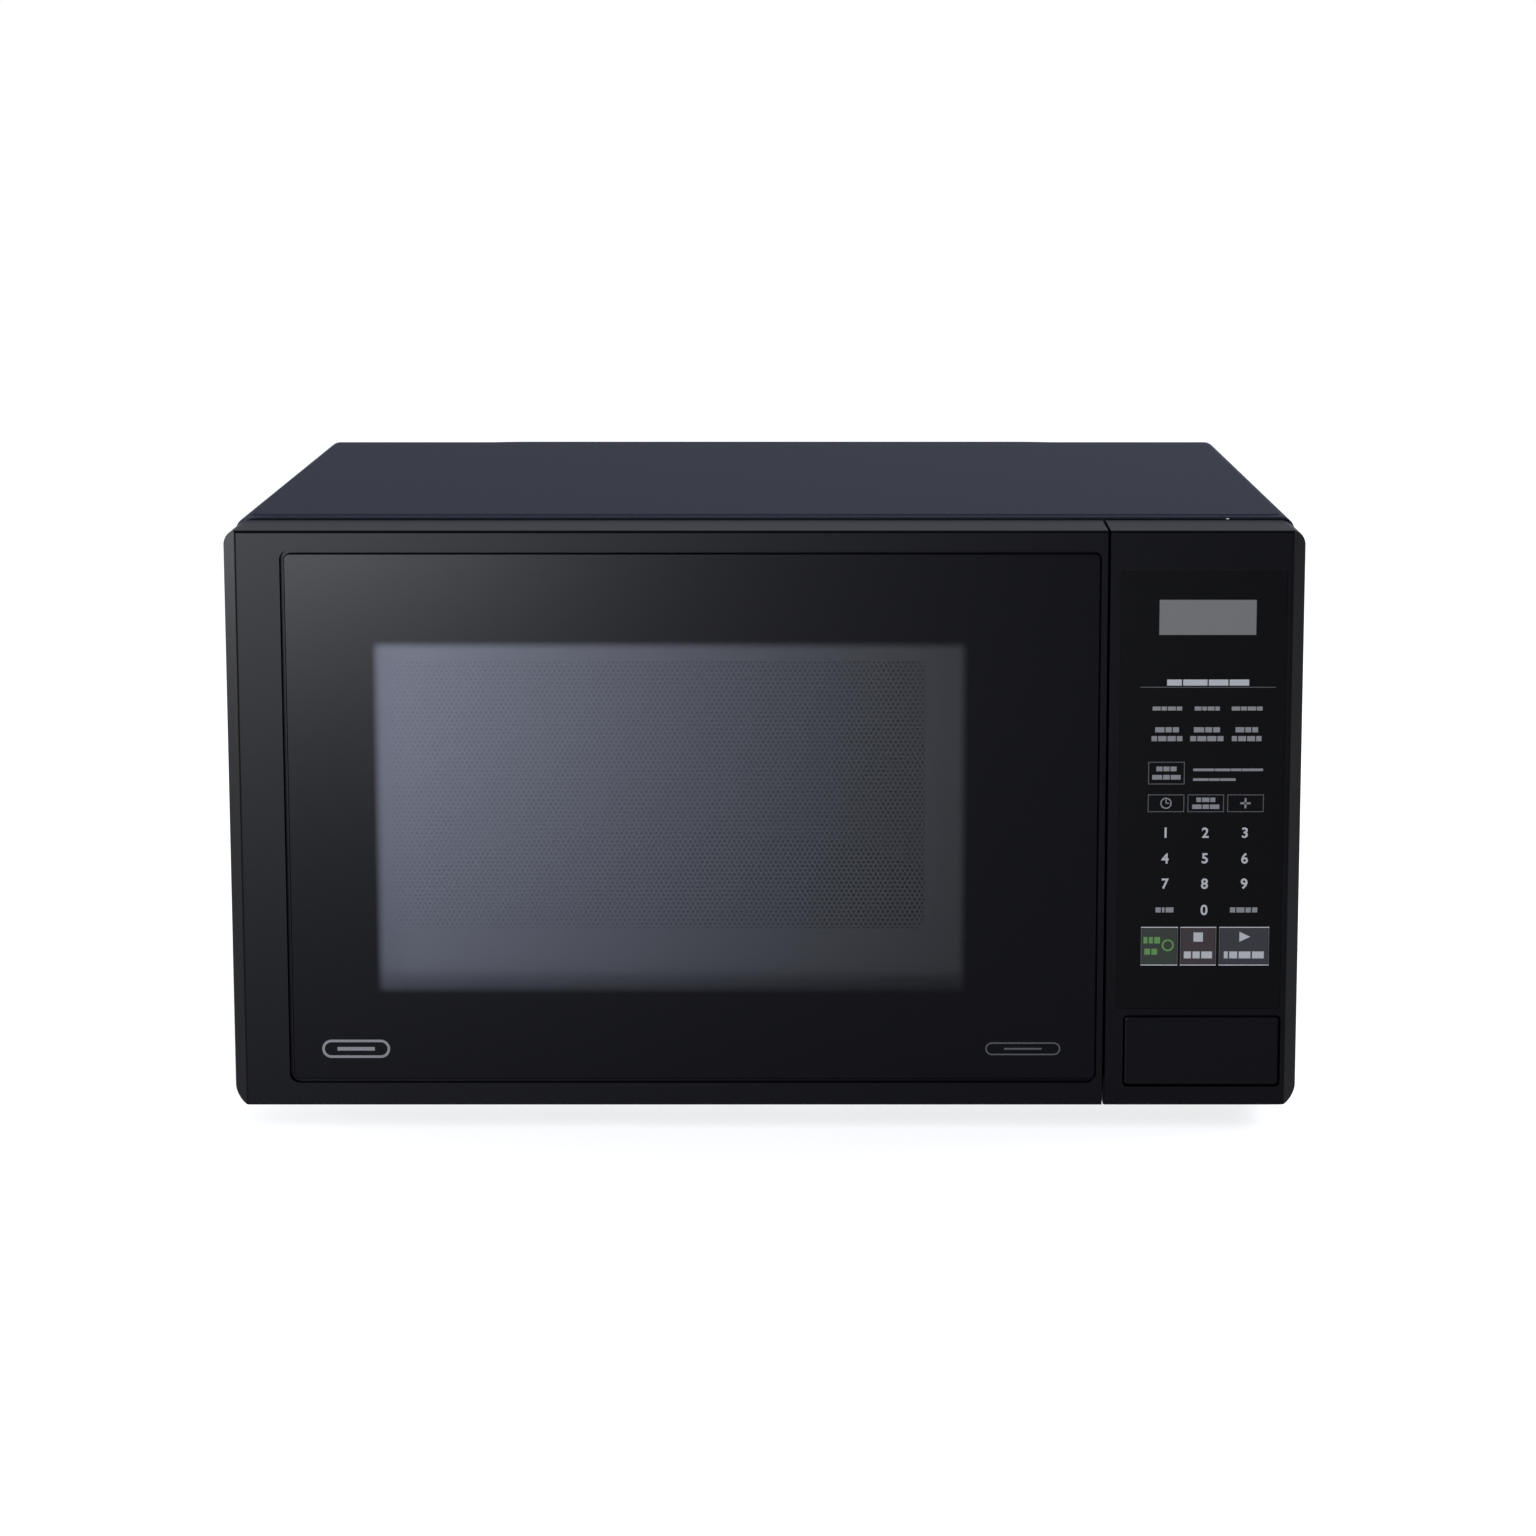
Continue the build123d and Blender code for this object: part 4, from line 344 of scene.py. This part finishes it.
# which finish each CAD node wears
nodeLooks = {
    "powderCoat": ["outer_case"],
    "backPaint": ["back_plate", "front_plate"],
    "galvanised": [
        "base_plate", "waveguide", "turntable_motor", "lower_hinge", "upper_hinge",
        "magnetron_yoke", "magnetron_filter_box", "capacitor_clamp", "lamp_holder",
    ],
    "footRubber": ["feet"],
    "screwZinc": ["screws"],
    "glandNylon": ["cord_gland"],
    "cavityEnamel": ["oven_cavity"],
    "mica": ["waveguide_cover"],
    "trayGlass": ["glass_tray"],
    "couplerMoulding": ["drive_coupler", "roller_ring"],
    "rollerMoulding": ["roller_1", "roller_2", "roller_3"],
    "turnedSteel": ["motor_shaft", "fan_rotor"],
    "satinBlack": ["door_frame", "panel_housing", "door_button"],
    "smokedPanePaintedLight": ["front_window"],
    "screenPaint": ["door_panel", "door_screen"],
    "clearFilm": ["inner_window"],
    "chokeBlack": ["choke_cover"],
    "latchAcetal": ["door_latch"],
    "springWire": ["latch_spring"],
    "carrierMoulding": ["latch_board", "open_lever"],
    "switchCase": ["interlock_switches", "hv_diode", "thermal_cutouts"],
    "plungerRed": ["primary_plunger", "secondary_plunger", "monitor_plunger"],
    "keyFilm": ["key_membrane"],
    "displayTint": ["display_lens"],
    "circuitBoard": ["control_board", "filter_board"],
    "boardParts": ["board_components"],
    "ferrite": ["magnetron_magnets"],
    "copper": ["magnetron_anode"],
    "finAluminium": ["magnetron_fins"],
    "canAluminium": ["hv_capacitor"],
    "coreSheets": ["transformer_core", "fan_stator"],
    "windingLacquer": ["transformer_windings", "fan_coil"],
    "ductMoulding": ["fan_shroud"],
    "fanMoulding": ["fan_blade"],
    "bulbGlass": ["cavity_lamp"],
}
for look, names in nodeLooks.items():
    for name in names:
        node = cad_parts[name]
        node.data.materials.clear()
        node.data.materials.append(finishes[look].material)
print("nodes finished:", sum(len(names) for names in nodeLooks.values()))


def addMesh(name, points, faces, look, body):
    mesh = bpy.data.meshes.new(name)
    mesh.from_pydata(points, [], faces)
    mesh.update()
    mesh.materials.append(finishes[look].material)
    piece = bpy.data.objects.new(name, mesh)
    bpy.context.scene.collection.objects.link(piece)
    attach(piece, body)
    return piece


# perforated screen in millimetres: six-sided cells, each round a hole, and a plain rim behind them
screen = {"pitch": 2.1, "hole": 0.72, "margin": 3.0, "rimBehind": 0.1}


def makeScreen():
    low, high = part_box("door_screen")
    middle = (low + high) / 2
    pitch = screen["pitch"] * mm
    rowStep = pitch * math.sqrt(3) / 2
    outer = pitch / math.sqrt(3)
    inner = screen["hole"] * mm
    corners = [(math.sin(math.radians(60 * k)), math.cos(math.radians(60 * k))) for k in range(6)]
    points, faces = [], []

    def joinRings(first, sides):
        # faces between two rings of points, the second straight after the first
        for k in range(sides):
            after = (k + 1) % sides
            faces.append((first + k, first + after, first + sides + after, first + sides + k))

    rows = int((high.z - low.z - 2 * screen["margin"] * mm) / rowStep)
    columns = int((high.x - low.x - 2 * screen["margin"] * mm) / pitch)
    for row in range(rows):
        z = middle.z + (row - (rows - 1) / 2) * rowStep
        shift = 0.5 if row % 2 else 0.0
        for column in range(columns):
            x = middle.x + (column - columns / 2 + shift) * pitch
            joinRings(len(points), len(corners))
            for reach in (outer, inner):
                points += [(x + reach * a, low.y, z + reach * b) for a, b in corners]
    # the rim runs from the last whole cells out to the sheet's edge
    halfX = (columns / 2 - 0.5) * pitch
    halfZ = rows / 2 * rowStep - outer / 2
    rimY = low.y + screen["rimBehind"] * mm
    turns = ((-1, -1), (1, -1), (1, 1), (-1, 1))
    joinRings(len(points), len(turns))
    points += [(middle.x + a * halfX, rimY, middle.z + b * halfZ) for a, b in turns]
    points += [((high if a > 0 else low).x, rimY, (high if b > 0 else low).z) for a, b in turns]
    piece = addMesh("perforatedScreen", points, faces, "screenPaint", "door")
    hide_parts("door_screen")
    print("screen cells:", rows * columns)


# coil behind the door button, in millimetres; travel is how far the button is pressed
buttonSpring = {"turns": 6, "wire": 0.5, "round": 8, "perTurn": 24, "travel": 5.0}


def makeButtonSpring():
    low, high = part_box("button_spring")
    middle = (low + high) / 2
    wire = buttonSpring["wire"] * mm
    radius = (high.x - low.x) / 2 - wire
    rise = high.y - low.y - 2 * wire
    sides = buttonSpring["round"]
    steps = buttonSpring["turns"] * buttonSpring["perTurn"]
    points, faces = [], []
    for step in range(steps + 1):
        turn = fullTurn * step / buttonSpring["perTurn"]
        for side in range(sides):
            angle = fullTurn * side / sides
            out = radius + wire * math.cos(angle)
            y = low.y + wire + rise * step / steps + wire * math.sin(angle)
            points.append((middle.x + out * math.sin(turn), y, middle.z + out * math.cos(turn)))
    for first in range(0, steps * sides, sides):
        for side in range(sides):
            after = (side + 1) % sides
            faces.append((first + side, first + sides + side, first + sides + after, first + after))
    faces.append(tuple(range(sides)))
    faces.append(tuple(reversed(range(steps * sides, (steps + 1) * sides))))
    piece = addMesh("buttonSpring", points, faces, "springWire", "cabinet")
    for face in piece.data.polygons:
        face.use_smooth = True
    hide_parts("button_spring")
    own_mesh(piece)


makeScreen()
makeButtonSpring()


# shares of a legend's height: the gap between bars, and how much a digit is thickened
# capital is a digit's height as a share of its font size
inkShare = {"gap": 0.22, "bold": 0.03, "capital": 0.72}


class Ink:
    # flat shapes on one face of the front, gathered into one mesh; sizes in millimetres
    def __init__(self, y):
        self.y = y
        self.points = []
        self.faces = []

    def shape(self, outline):
        first = len(self.points)
        self.points += [(x * mm, self.y, z * mm) for x, z in outline]
        self.faces.append(tuple(range(first, first + len(outline))))

    def bar(self, x, z, wide, tall):
        a, b, c, d = x - wide / 2, x + wide / 2, z - tall / 2, z + tall / 2
        self.shape([(a, c), (b, c), (b, d), (a, d)])

    def dashes(self, x, z, wide, tall, widths):
        # a run of short bars that stands for a legend
        gap = inkShare["gap"] * tall
        unit = (wide - gap * (len(widths) - 1)) / sum(widths)
        left = x - wide / 2
        for part in widths:
            self.bar(left + part * unit / 2, z, part * unit, tall)
            left += part * unit + gap

    def twoLines(self, x, z, look):
        for side, (wide, bars) in zip((1, -1), look["legends"]):
            self.dashes(x, z + side * look["rise"], wide, look["tall"], bars)

    def frame(self, x, z, wide, tall, line):
        for side in (-1, 1):
            self.bar(x, z + side * (tall - line) / 2, wide, line)
            self.bar(x + side * (wide - line) / 2, z, line, tall - 2 * line)

    def ring(self, x, z, radius, line, steps=32, start=0.0, end=360.0):
        for k in range(steps):
            a, b = (math.radians(start + (end - start) * (k + j) / steps) for j in (0, 1))
            inner = radius - line
            corners = ((radius, a), (radius, b), (inner, b), (inner, a))
            self.shape([(x + out * math.cos(angle), z + out * math.sin(angle)) for out, angle in corners])

    def capsule(self, x, z, wide, tall, line):
        # rounded outline
        radius = tall / 2
        reach = wide / 2 - radius
        self.ring(x - reach, z, radius, line, steps=16, start=90, end=270)
        self.ring(x + reach, z, radius, line, steps=16, start=-90, end=90)
        for side in (-1, 1):
            self.bar(x, z + side * (tall - line) / 2, 2 * reach, line)

    def digit(self, text, x, z, tall):
        curve = bpy.data.curves.new("digit", "FONT")
        curve.body = text
        curve.size = tall / inkShare["capital"]
        curve.align_x = "CENTER"
        curve.offset = inkShare["bold"] * tall
        holder = bpy.data.objects.new("digit", curve)
        bpy.context.scene.collection.objects.link(holder)
        bpy.context.view_layer.update()
        mesh = holder.to_mesh()
        heights = [v.co.y for v in mesh.vertices]
        middle = (min(heights) + max(heights)) / 2
        first = len(self.points)
        self.points += [((x + v.co.x) * mm, self.y, (z + v.co.y - middle) * mm) for v in mesh.vertices]
        self.faces += [tuple(first + v for v in face.vertices) for face in mesh.polygons]
        holder.to_mesh_clear()
        bpy.data.objects.remove(holder)

    def finish(self, name, look, body):
        return addMesh(name, self.points, self.faces, look, body)


# keypad in millimetres; a legend is its width and the lengths of its bars
keypad = {
    "lift": 0.03, "columns": (169.6, 186.4, 203.2), "line": 0.35,
    "menu": (186.6, 193.6, 34.5, 2.6, (3, 5, 4, 4)), "rule": (186.6, 191.6, 57.0),
    "shortZ": 182.5, "shortTall": 1.7, "shortWide": (12.4, 10.6, 13.0), "shortBars": (3, 2, 3, 2),
    "pairZ": (173.4, 169.6), "pairTall": 2.2, "pairWide": (10.0, 11.0, 9.5), "pairMore": 3.0,
    "pairBars": ((3, 2, 2), (2, 3, 3, 2)),
    "boxZ": 141.8, "boxWide": 15.4, "boxTall": 7.6,
    "defrostZ": 154.8, "defrostTall": 9.7,
    "defrost": {"rise": 1.8, "tall": 2.0, "legends": ((8.5, (2, 2, 2)), (12.0, (3, 2, 3)))},
    "noteLeft": 180.85, "noteTall": 1.1, "notes": ((156.2, 29.5, (4, 3, 2, 4)), (152.0, 18.0, (3, 2, 3))),
    "clockRadius": 2.4, "clockLine": 0.5, "hand": 0.45,
    "longHand": 1.7, "longUp": 0.8, "shortHand": 1.4, "shortOut": 0.6,
    "middle": {"rise": 1.5, "tall": 1.9, "legends": ((8.0, (2, 3, 2)), (11.5, (3, 2, 3)))},
    "plusWide": 4.4, "plusLine": 0.8,
    "rows": (129.1, 118.0, 107.0, 95.6), "digitTall": 4.4,
    "besideTall": 2.2, "besideZero": ((0, 7.6, (2, 1, 3)), (2, 11.6, (2, 3, 2, 2))),
}


def makeKeypad():
    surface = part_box("key_membrane")[0].y - keypad["lift"] * mm
    white, small, faint = Ink(surface), Ink(surface), Ink(surface)
    columns, line, boxZ = keypad["columns"], keypad["line"], keypad["boxZ"]
    left, centre, right = columns
    white.dashes(*keypad["menu"])
    faint.bar(*keypad["rule"], line)
    for x, short, pair in zip(columns, keypad["shortWide"], keypad["pairWide"]):
        small.dashes(x, keypad["shortZ"], short, keypad["shortTall"], keypad["shortBars"])
        for z, wide, bars in zip(keypad["pairZ"], (pair, pair + keypad["pairMore"]), keypad["pairBars"]):
            small.dashes(x, z, wide, keypad["pairTall"], bars)
        faint.frame(x, boxZ, keypad["boxWide"], keypad["boxTall"], line)
    # defrost key, with notes beside it
    faint.frame(left, keypad["defrostZ"], keypad["boxWide"], keypad["defrostTall"], line)
    small.twoLines(left, keypad["defrostZ"], keypad["defrost"])
    for z, wide, bars in keypad["notes"]:
        small.dashes(keypad["noteLeft"] + wide / 2, z, wide, keypad["noteTall"], bars)
    # three keys: a clock face, two lines, and a plus
    small.ring(left, boxZ, keypad["clockRadius"], keypad["clockLine"])
    small.bar(left, boxZ + keypad["longUp"], keypad["hand"], keypad["longHand"])
    small.bar(left + keypad["shortOut"], boxZ, keypad["shortHand"], keypad["hand"])
    small.twoLines(centre, boxZ, keypad["middle"])
    small.bar(right, boxZ, keypad["plusWide"], keypad["plusLine"])
    small.bar(right, boxZ, keypad["plusLine"], keypad["plusWide"])
    for number in range(1, 10):
        row, column = divmod(number - 1, 3)
        white.digit(str(number), columns[column], keypad["rows"][row], keypad["digitTall"])
    white.digit("0", centre, keypad["rows"][3], keypad["digitTall"])
    for column, wide, bars in keypad["besideZero"]:
        small.dashes(columns[column], keypad["rows"][3], wide, keypad["besideTall"], bars)
    white.finish("keypadDigits", "legendInk", "cabinet")
    small.finish("keypadLegends", "smallInk", "cabinet")
    faint.finish("keypadFrames", "faintInk", "cabinet")


# the three keys at the bottom, in millimetres
lastKeys = {
    # middle, width, and the tint behind the legend
    "keys": {
        "save": (167.6, 15.7, "greenTint"),
        "stop": (184.1, 15.3, "redTint"),
        "start": (203.6, 21.3, "blueTint"),
    },
    "z": 79.8, "tall": 17.0, "tintLift": 0.03, "legendLift": 0.05, "tintInX": 1.2, "tintInZ": 1.6,
    "edge": 0.45, "edgeIn": 0.3, "side": 0.4, "sideIn": 0.2, "sideShort": 1.1,
    "saveRing": (3.6, 0.4, 2.6, 0.7), "saveRingSteps": 24,
    "saveBars": ((-3.2, 2.6, 7.0, 2.8, (2, 2, 3)), (-3.6, -2.4, 5.4, 2.6, (2, 2))),
    "square": 4.0, "squareUp": 4.0, "arrow": ((-2.0, 1.9), (2.6, 4.1), (-2.0, 6.3)),
    "wordDown": 3.8, "wordTall": 3.0, "stopWord": (12.0, (2, 2, 3)), "startWord": (17.0, (1, 2, 3, 3)),
}


def makeLastKeys():
    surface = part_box("key_membrane")[0].y
    z, tall = lastKeys["z"], lastKeys["tall"]
    over, under = surface - lastKeys["legendLift"] * mm, surface - lastKeys["tintLift"] * mm
    white, faint, green = Ink(over), Ink(under), Ink(over)
    for name, (x, wide, look) in lastKeys["keys"].items():
        tint = Ink(under)
        tint.bar(x, z, wide - lastKeys["tintInX"], tall - lastKeys["tintInZ"])
        tint.finish(name + "Tint", look, "cabinet")
        for side in (-1, 1):
            white.bar(x, z + side * (tall / 2 - lastKeys["edgeIn"]), wide, lastKeys["edge"])
            sideX = x + side * (wide / 2 - lastKeys["sideIn"])
            faint.bar(sideX, z, lastKeys["side"], tall - lastKeys["sideShort"])
    saveX, stopX, startX = (key[0] for key in lastKeys["keys"].values())
    outX, upZ, radius, line = lastKeys["saveRing"]
    green.ring(saveX + outX, z + upZ, radius, line, lastKeys["saveRingSteps"])
    for outX, upZ, wide, barTall, bars in lastKeys["saveBars"]:
        green.dashes(saveX + outX, z + upZ, wide, barTall, bars)
    white.bar(stopX, z + lastKeys["squareUp"], lastKeys["square"], lastKeys["square"])
    white.shape([(startX + outX, z + upZ) for outX, upZ in lastKeys["arrow"]])
    for x, (wide, bars) in ((stopX, lastKeys["stopWord"]), (startX, lastKeys["startWord"])):
        white.dashes(x, z - lastKeys["wordDown"], wide, lastKeys["wordTall"], bars)
    white.finish("lastKeyLegends", "legendInk", "cabinet")
    faint.finish("lastKeyFrames", "faintInk", "cabinet")
    green.finish("saveKeyLegend", "greenInk", "cabinet")


# plain marks where the door has its badges, in millimetres
badges = {
    "z": 34.8, "lift": 0.04,
    # finish, middle, width, height, outline, and the bar's share of the width and its height
    "marks": {
        "left": ("badgeSilver", -174.6, 29.0, 8.0, 1.1, 0.55, 1.6),
        "right": ("faintInk", 110.0, 32.0, 5.6, 0.6, 0.50, 0.8),
    },
}


def makeBadges():
    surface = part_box("front_window")[0].y - badges["lift"] * mm
    for name, (look, x, wide, tall, line, share, barTall) in badges["marks"].items():
        mark = Ink(surface)
        mark.capsule(x, badges["z"], wide, tall, line)
        mark.bar(x, badges["z"], wide * share, barTall)
        mark.finish(name + "Badge", look, "door")


makeKeypad()
makeLastKeys()
makeBadges()
print("legends made")

# room, lights and camera, in metres and watts
room = {
    "floor": (0.66, 0.66, 0.66), "rough": 0.9, "glow": 1.06, "half": 12.0,
    "backdrop": 1.0, "fill": 0.57, "fillColour": (0.82, 0.87, 1.0),
}
lights = {
    # place, where it aims, width, height, watts, colour
    "overhead": ((1.25, 0.45, 1.05), (0.05, 0, 0.26), 0.9, 0.9, 16, (0.93, 0.95, 1)),
    "leftEdge": ((-1.30, 0.20, 0.22), (-0.23, -0.16, 0.22), 0.4, 0.3, 6, (0.95, 0.96, 1)),
    "leftFront": ((-0.62, -1.90, 0.16), (-0.2, -0.16, 0.25), 0.7, 0.26, 62, (0.90, 0.93, 1)),
}
camera = {
    "place": (0.0182, -1.5939, 0.4532), "down": 7.89, "sensor": 36, "lens": 80.87,
    "shiftX": -0.0259, "shiftY": -0.150,
}


def makeRoom():
    half = room["half"]
    corners = [(-half, -half, 0), (half, -half, 0), (half, half, 0), (-half, half, 0)]
    mesh = bpy.data.meshes.new("floor")
    mesh.from_pydata(corners, [], [(0, 1, 2, 3)])
    finish = Finish("paleFloor").set(colour=room["floor"], rough=room["rough"], specular=0.0)
    finish.set(glow=room["floor"], glowStrength=room["glow"])
    mesh.materials.append(finish.material)
    floor = bpy.data.objects.new("floor", mesh)
    bpy.context.scene.collection.objects.link(floor)
    world = bpy.data.worlds.new("softRoom")
    world.use_nodes = True
    # a white backdrop that lights the oven only softly
    tree = world.node_tree
    fill = tree.nodes["Background"]
    fill.inputs["Color"].default_value = (*room["fillColour"], 1)
    fill.inputs["Strength"].default_value = room["fill"]
    backdrop = tree.nodes.new("ShaderNodeBackground")
    backdrop.inputs["Color"].default_value = (1, 1, 1, 1)
    backdrop.inputs["Strength"].default_value = room["backdrop"]
    seen = tree.nodes.new("ShaderNodeLightPath")
    mix = tree.nodes.new("ShaderNodeMixShader")
    tree.links.new(seen.outputs["Is Camera Ray"], mix.inputs[0])
    tree.links.new(fill.outputs[0], mix.inputs[1])
    tree.links.new(backdrop.outputs[0], mix.inputs[2])
    tree.links.new(mix.outputs[0], tree.nodes["World Output"].inputs["Surface"])
    bpy.context.scene.world = world


def makeLights():
    for name, (place, aim, wide, tall, power, colour) in lights.items():
        data = bpy.data.lights.new(name, "AREA")
        data.shape = "RECTANGLE"
        data.size, data.size_y = wide, tall
        data.energy = power
        data.color = colour
        lamp = bpy.data.objects.new(name, data)
        lamp.location = place
        lamp.rotation_euler = (Vector(aim) - Vector(place)).to_track_quat("-Z", "Y").to_euler()
        lamp.visible_camera = False
        bpy.context.scene.collection.objects.link(lamp)


def makeCamera():
    data = bpy.data.cameras.new("camera")
    data.sensor_width = camera["sensor"]
    data.lens = camera["lens"]
    data.shift_x, data.shift_y = camera["shiftX"], camera["shiftY"]
    eye = bpy.data.objects.new("camera", data)
    eye.location = camera["place"]
    eye.rotation_euler = (math.radians(90 - camera["down"]), 0, 0)
    bpy.context.scene.collection.objects.link(eye)
    bpy.context.scene.camera = eye


makeRoom()
makeLights()
makeCamera()
bpy.context.scene.view_settings.view_transform = "Standard"
print("room, lights and camera made")

bpy.context.view_layer.update()
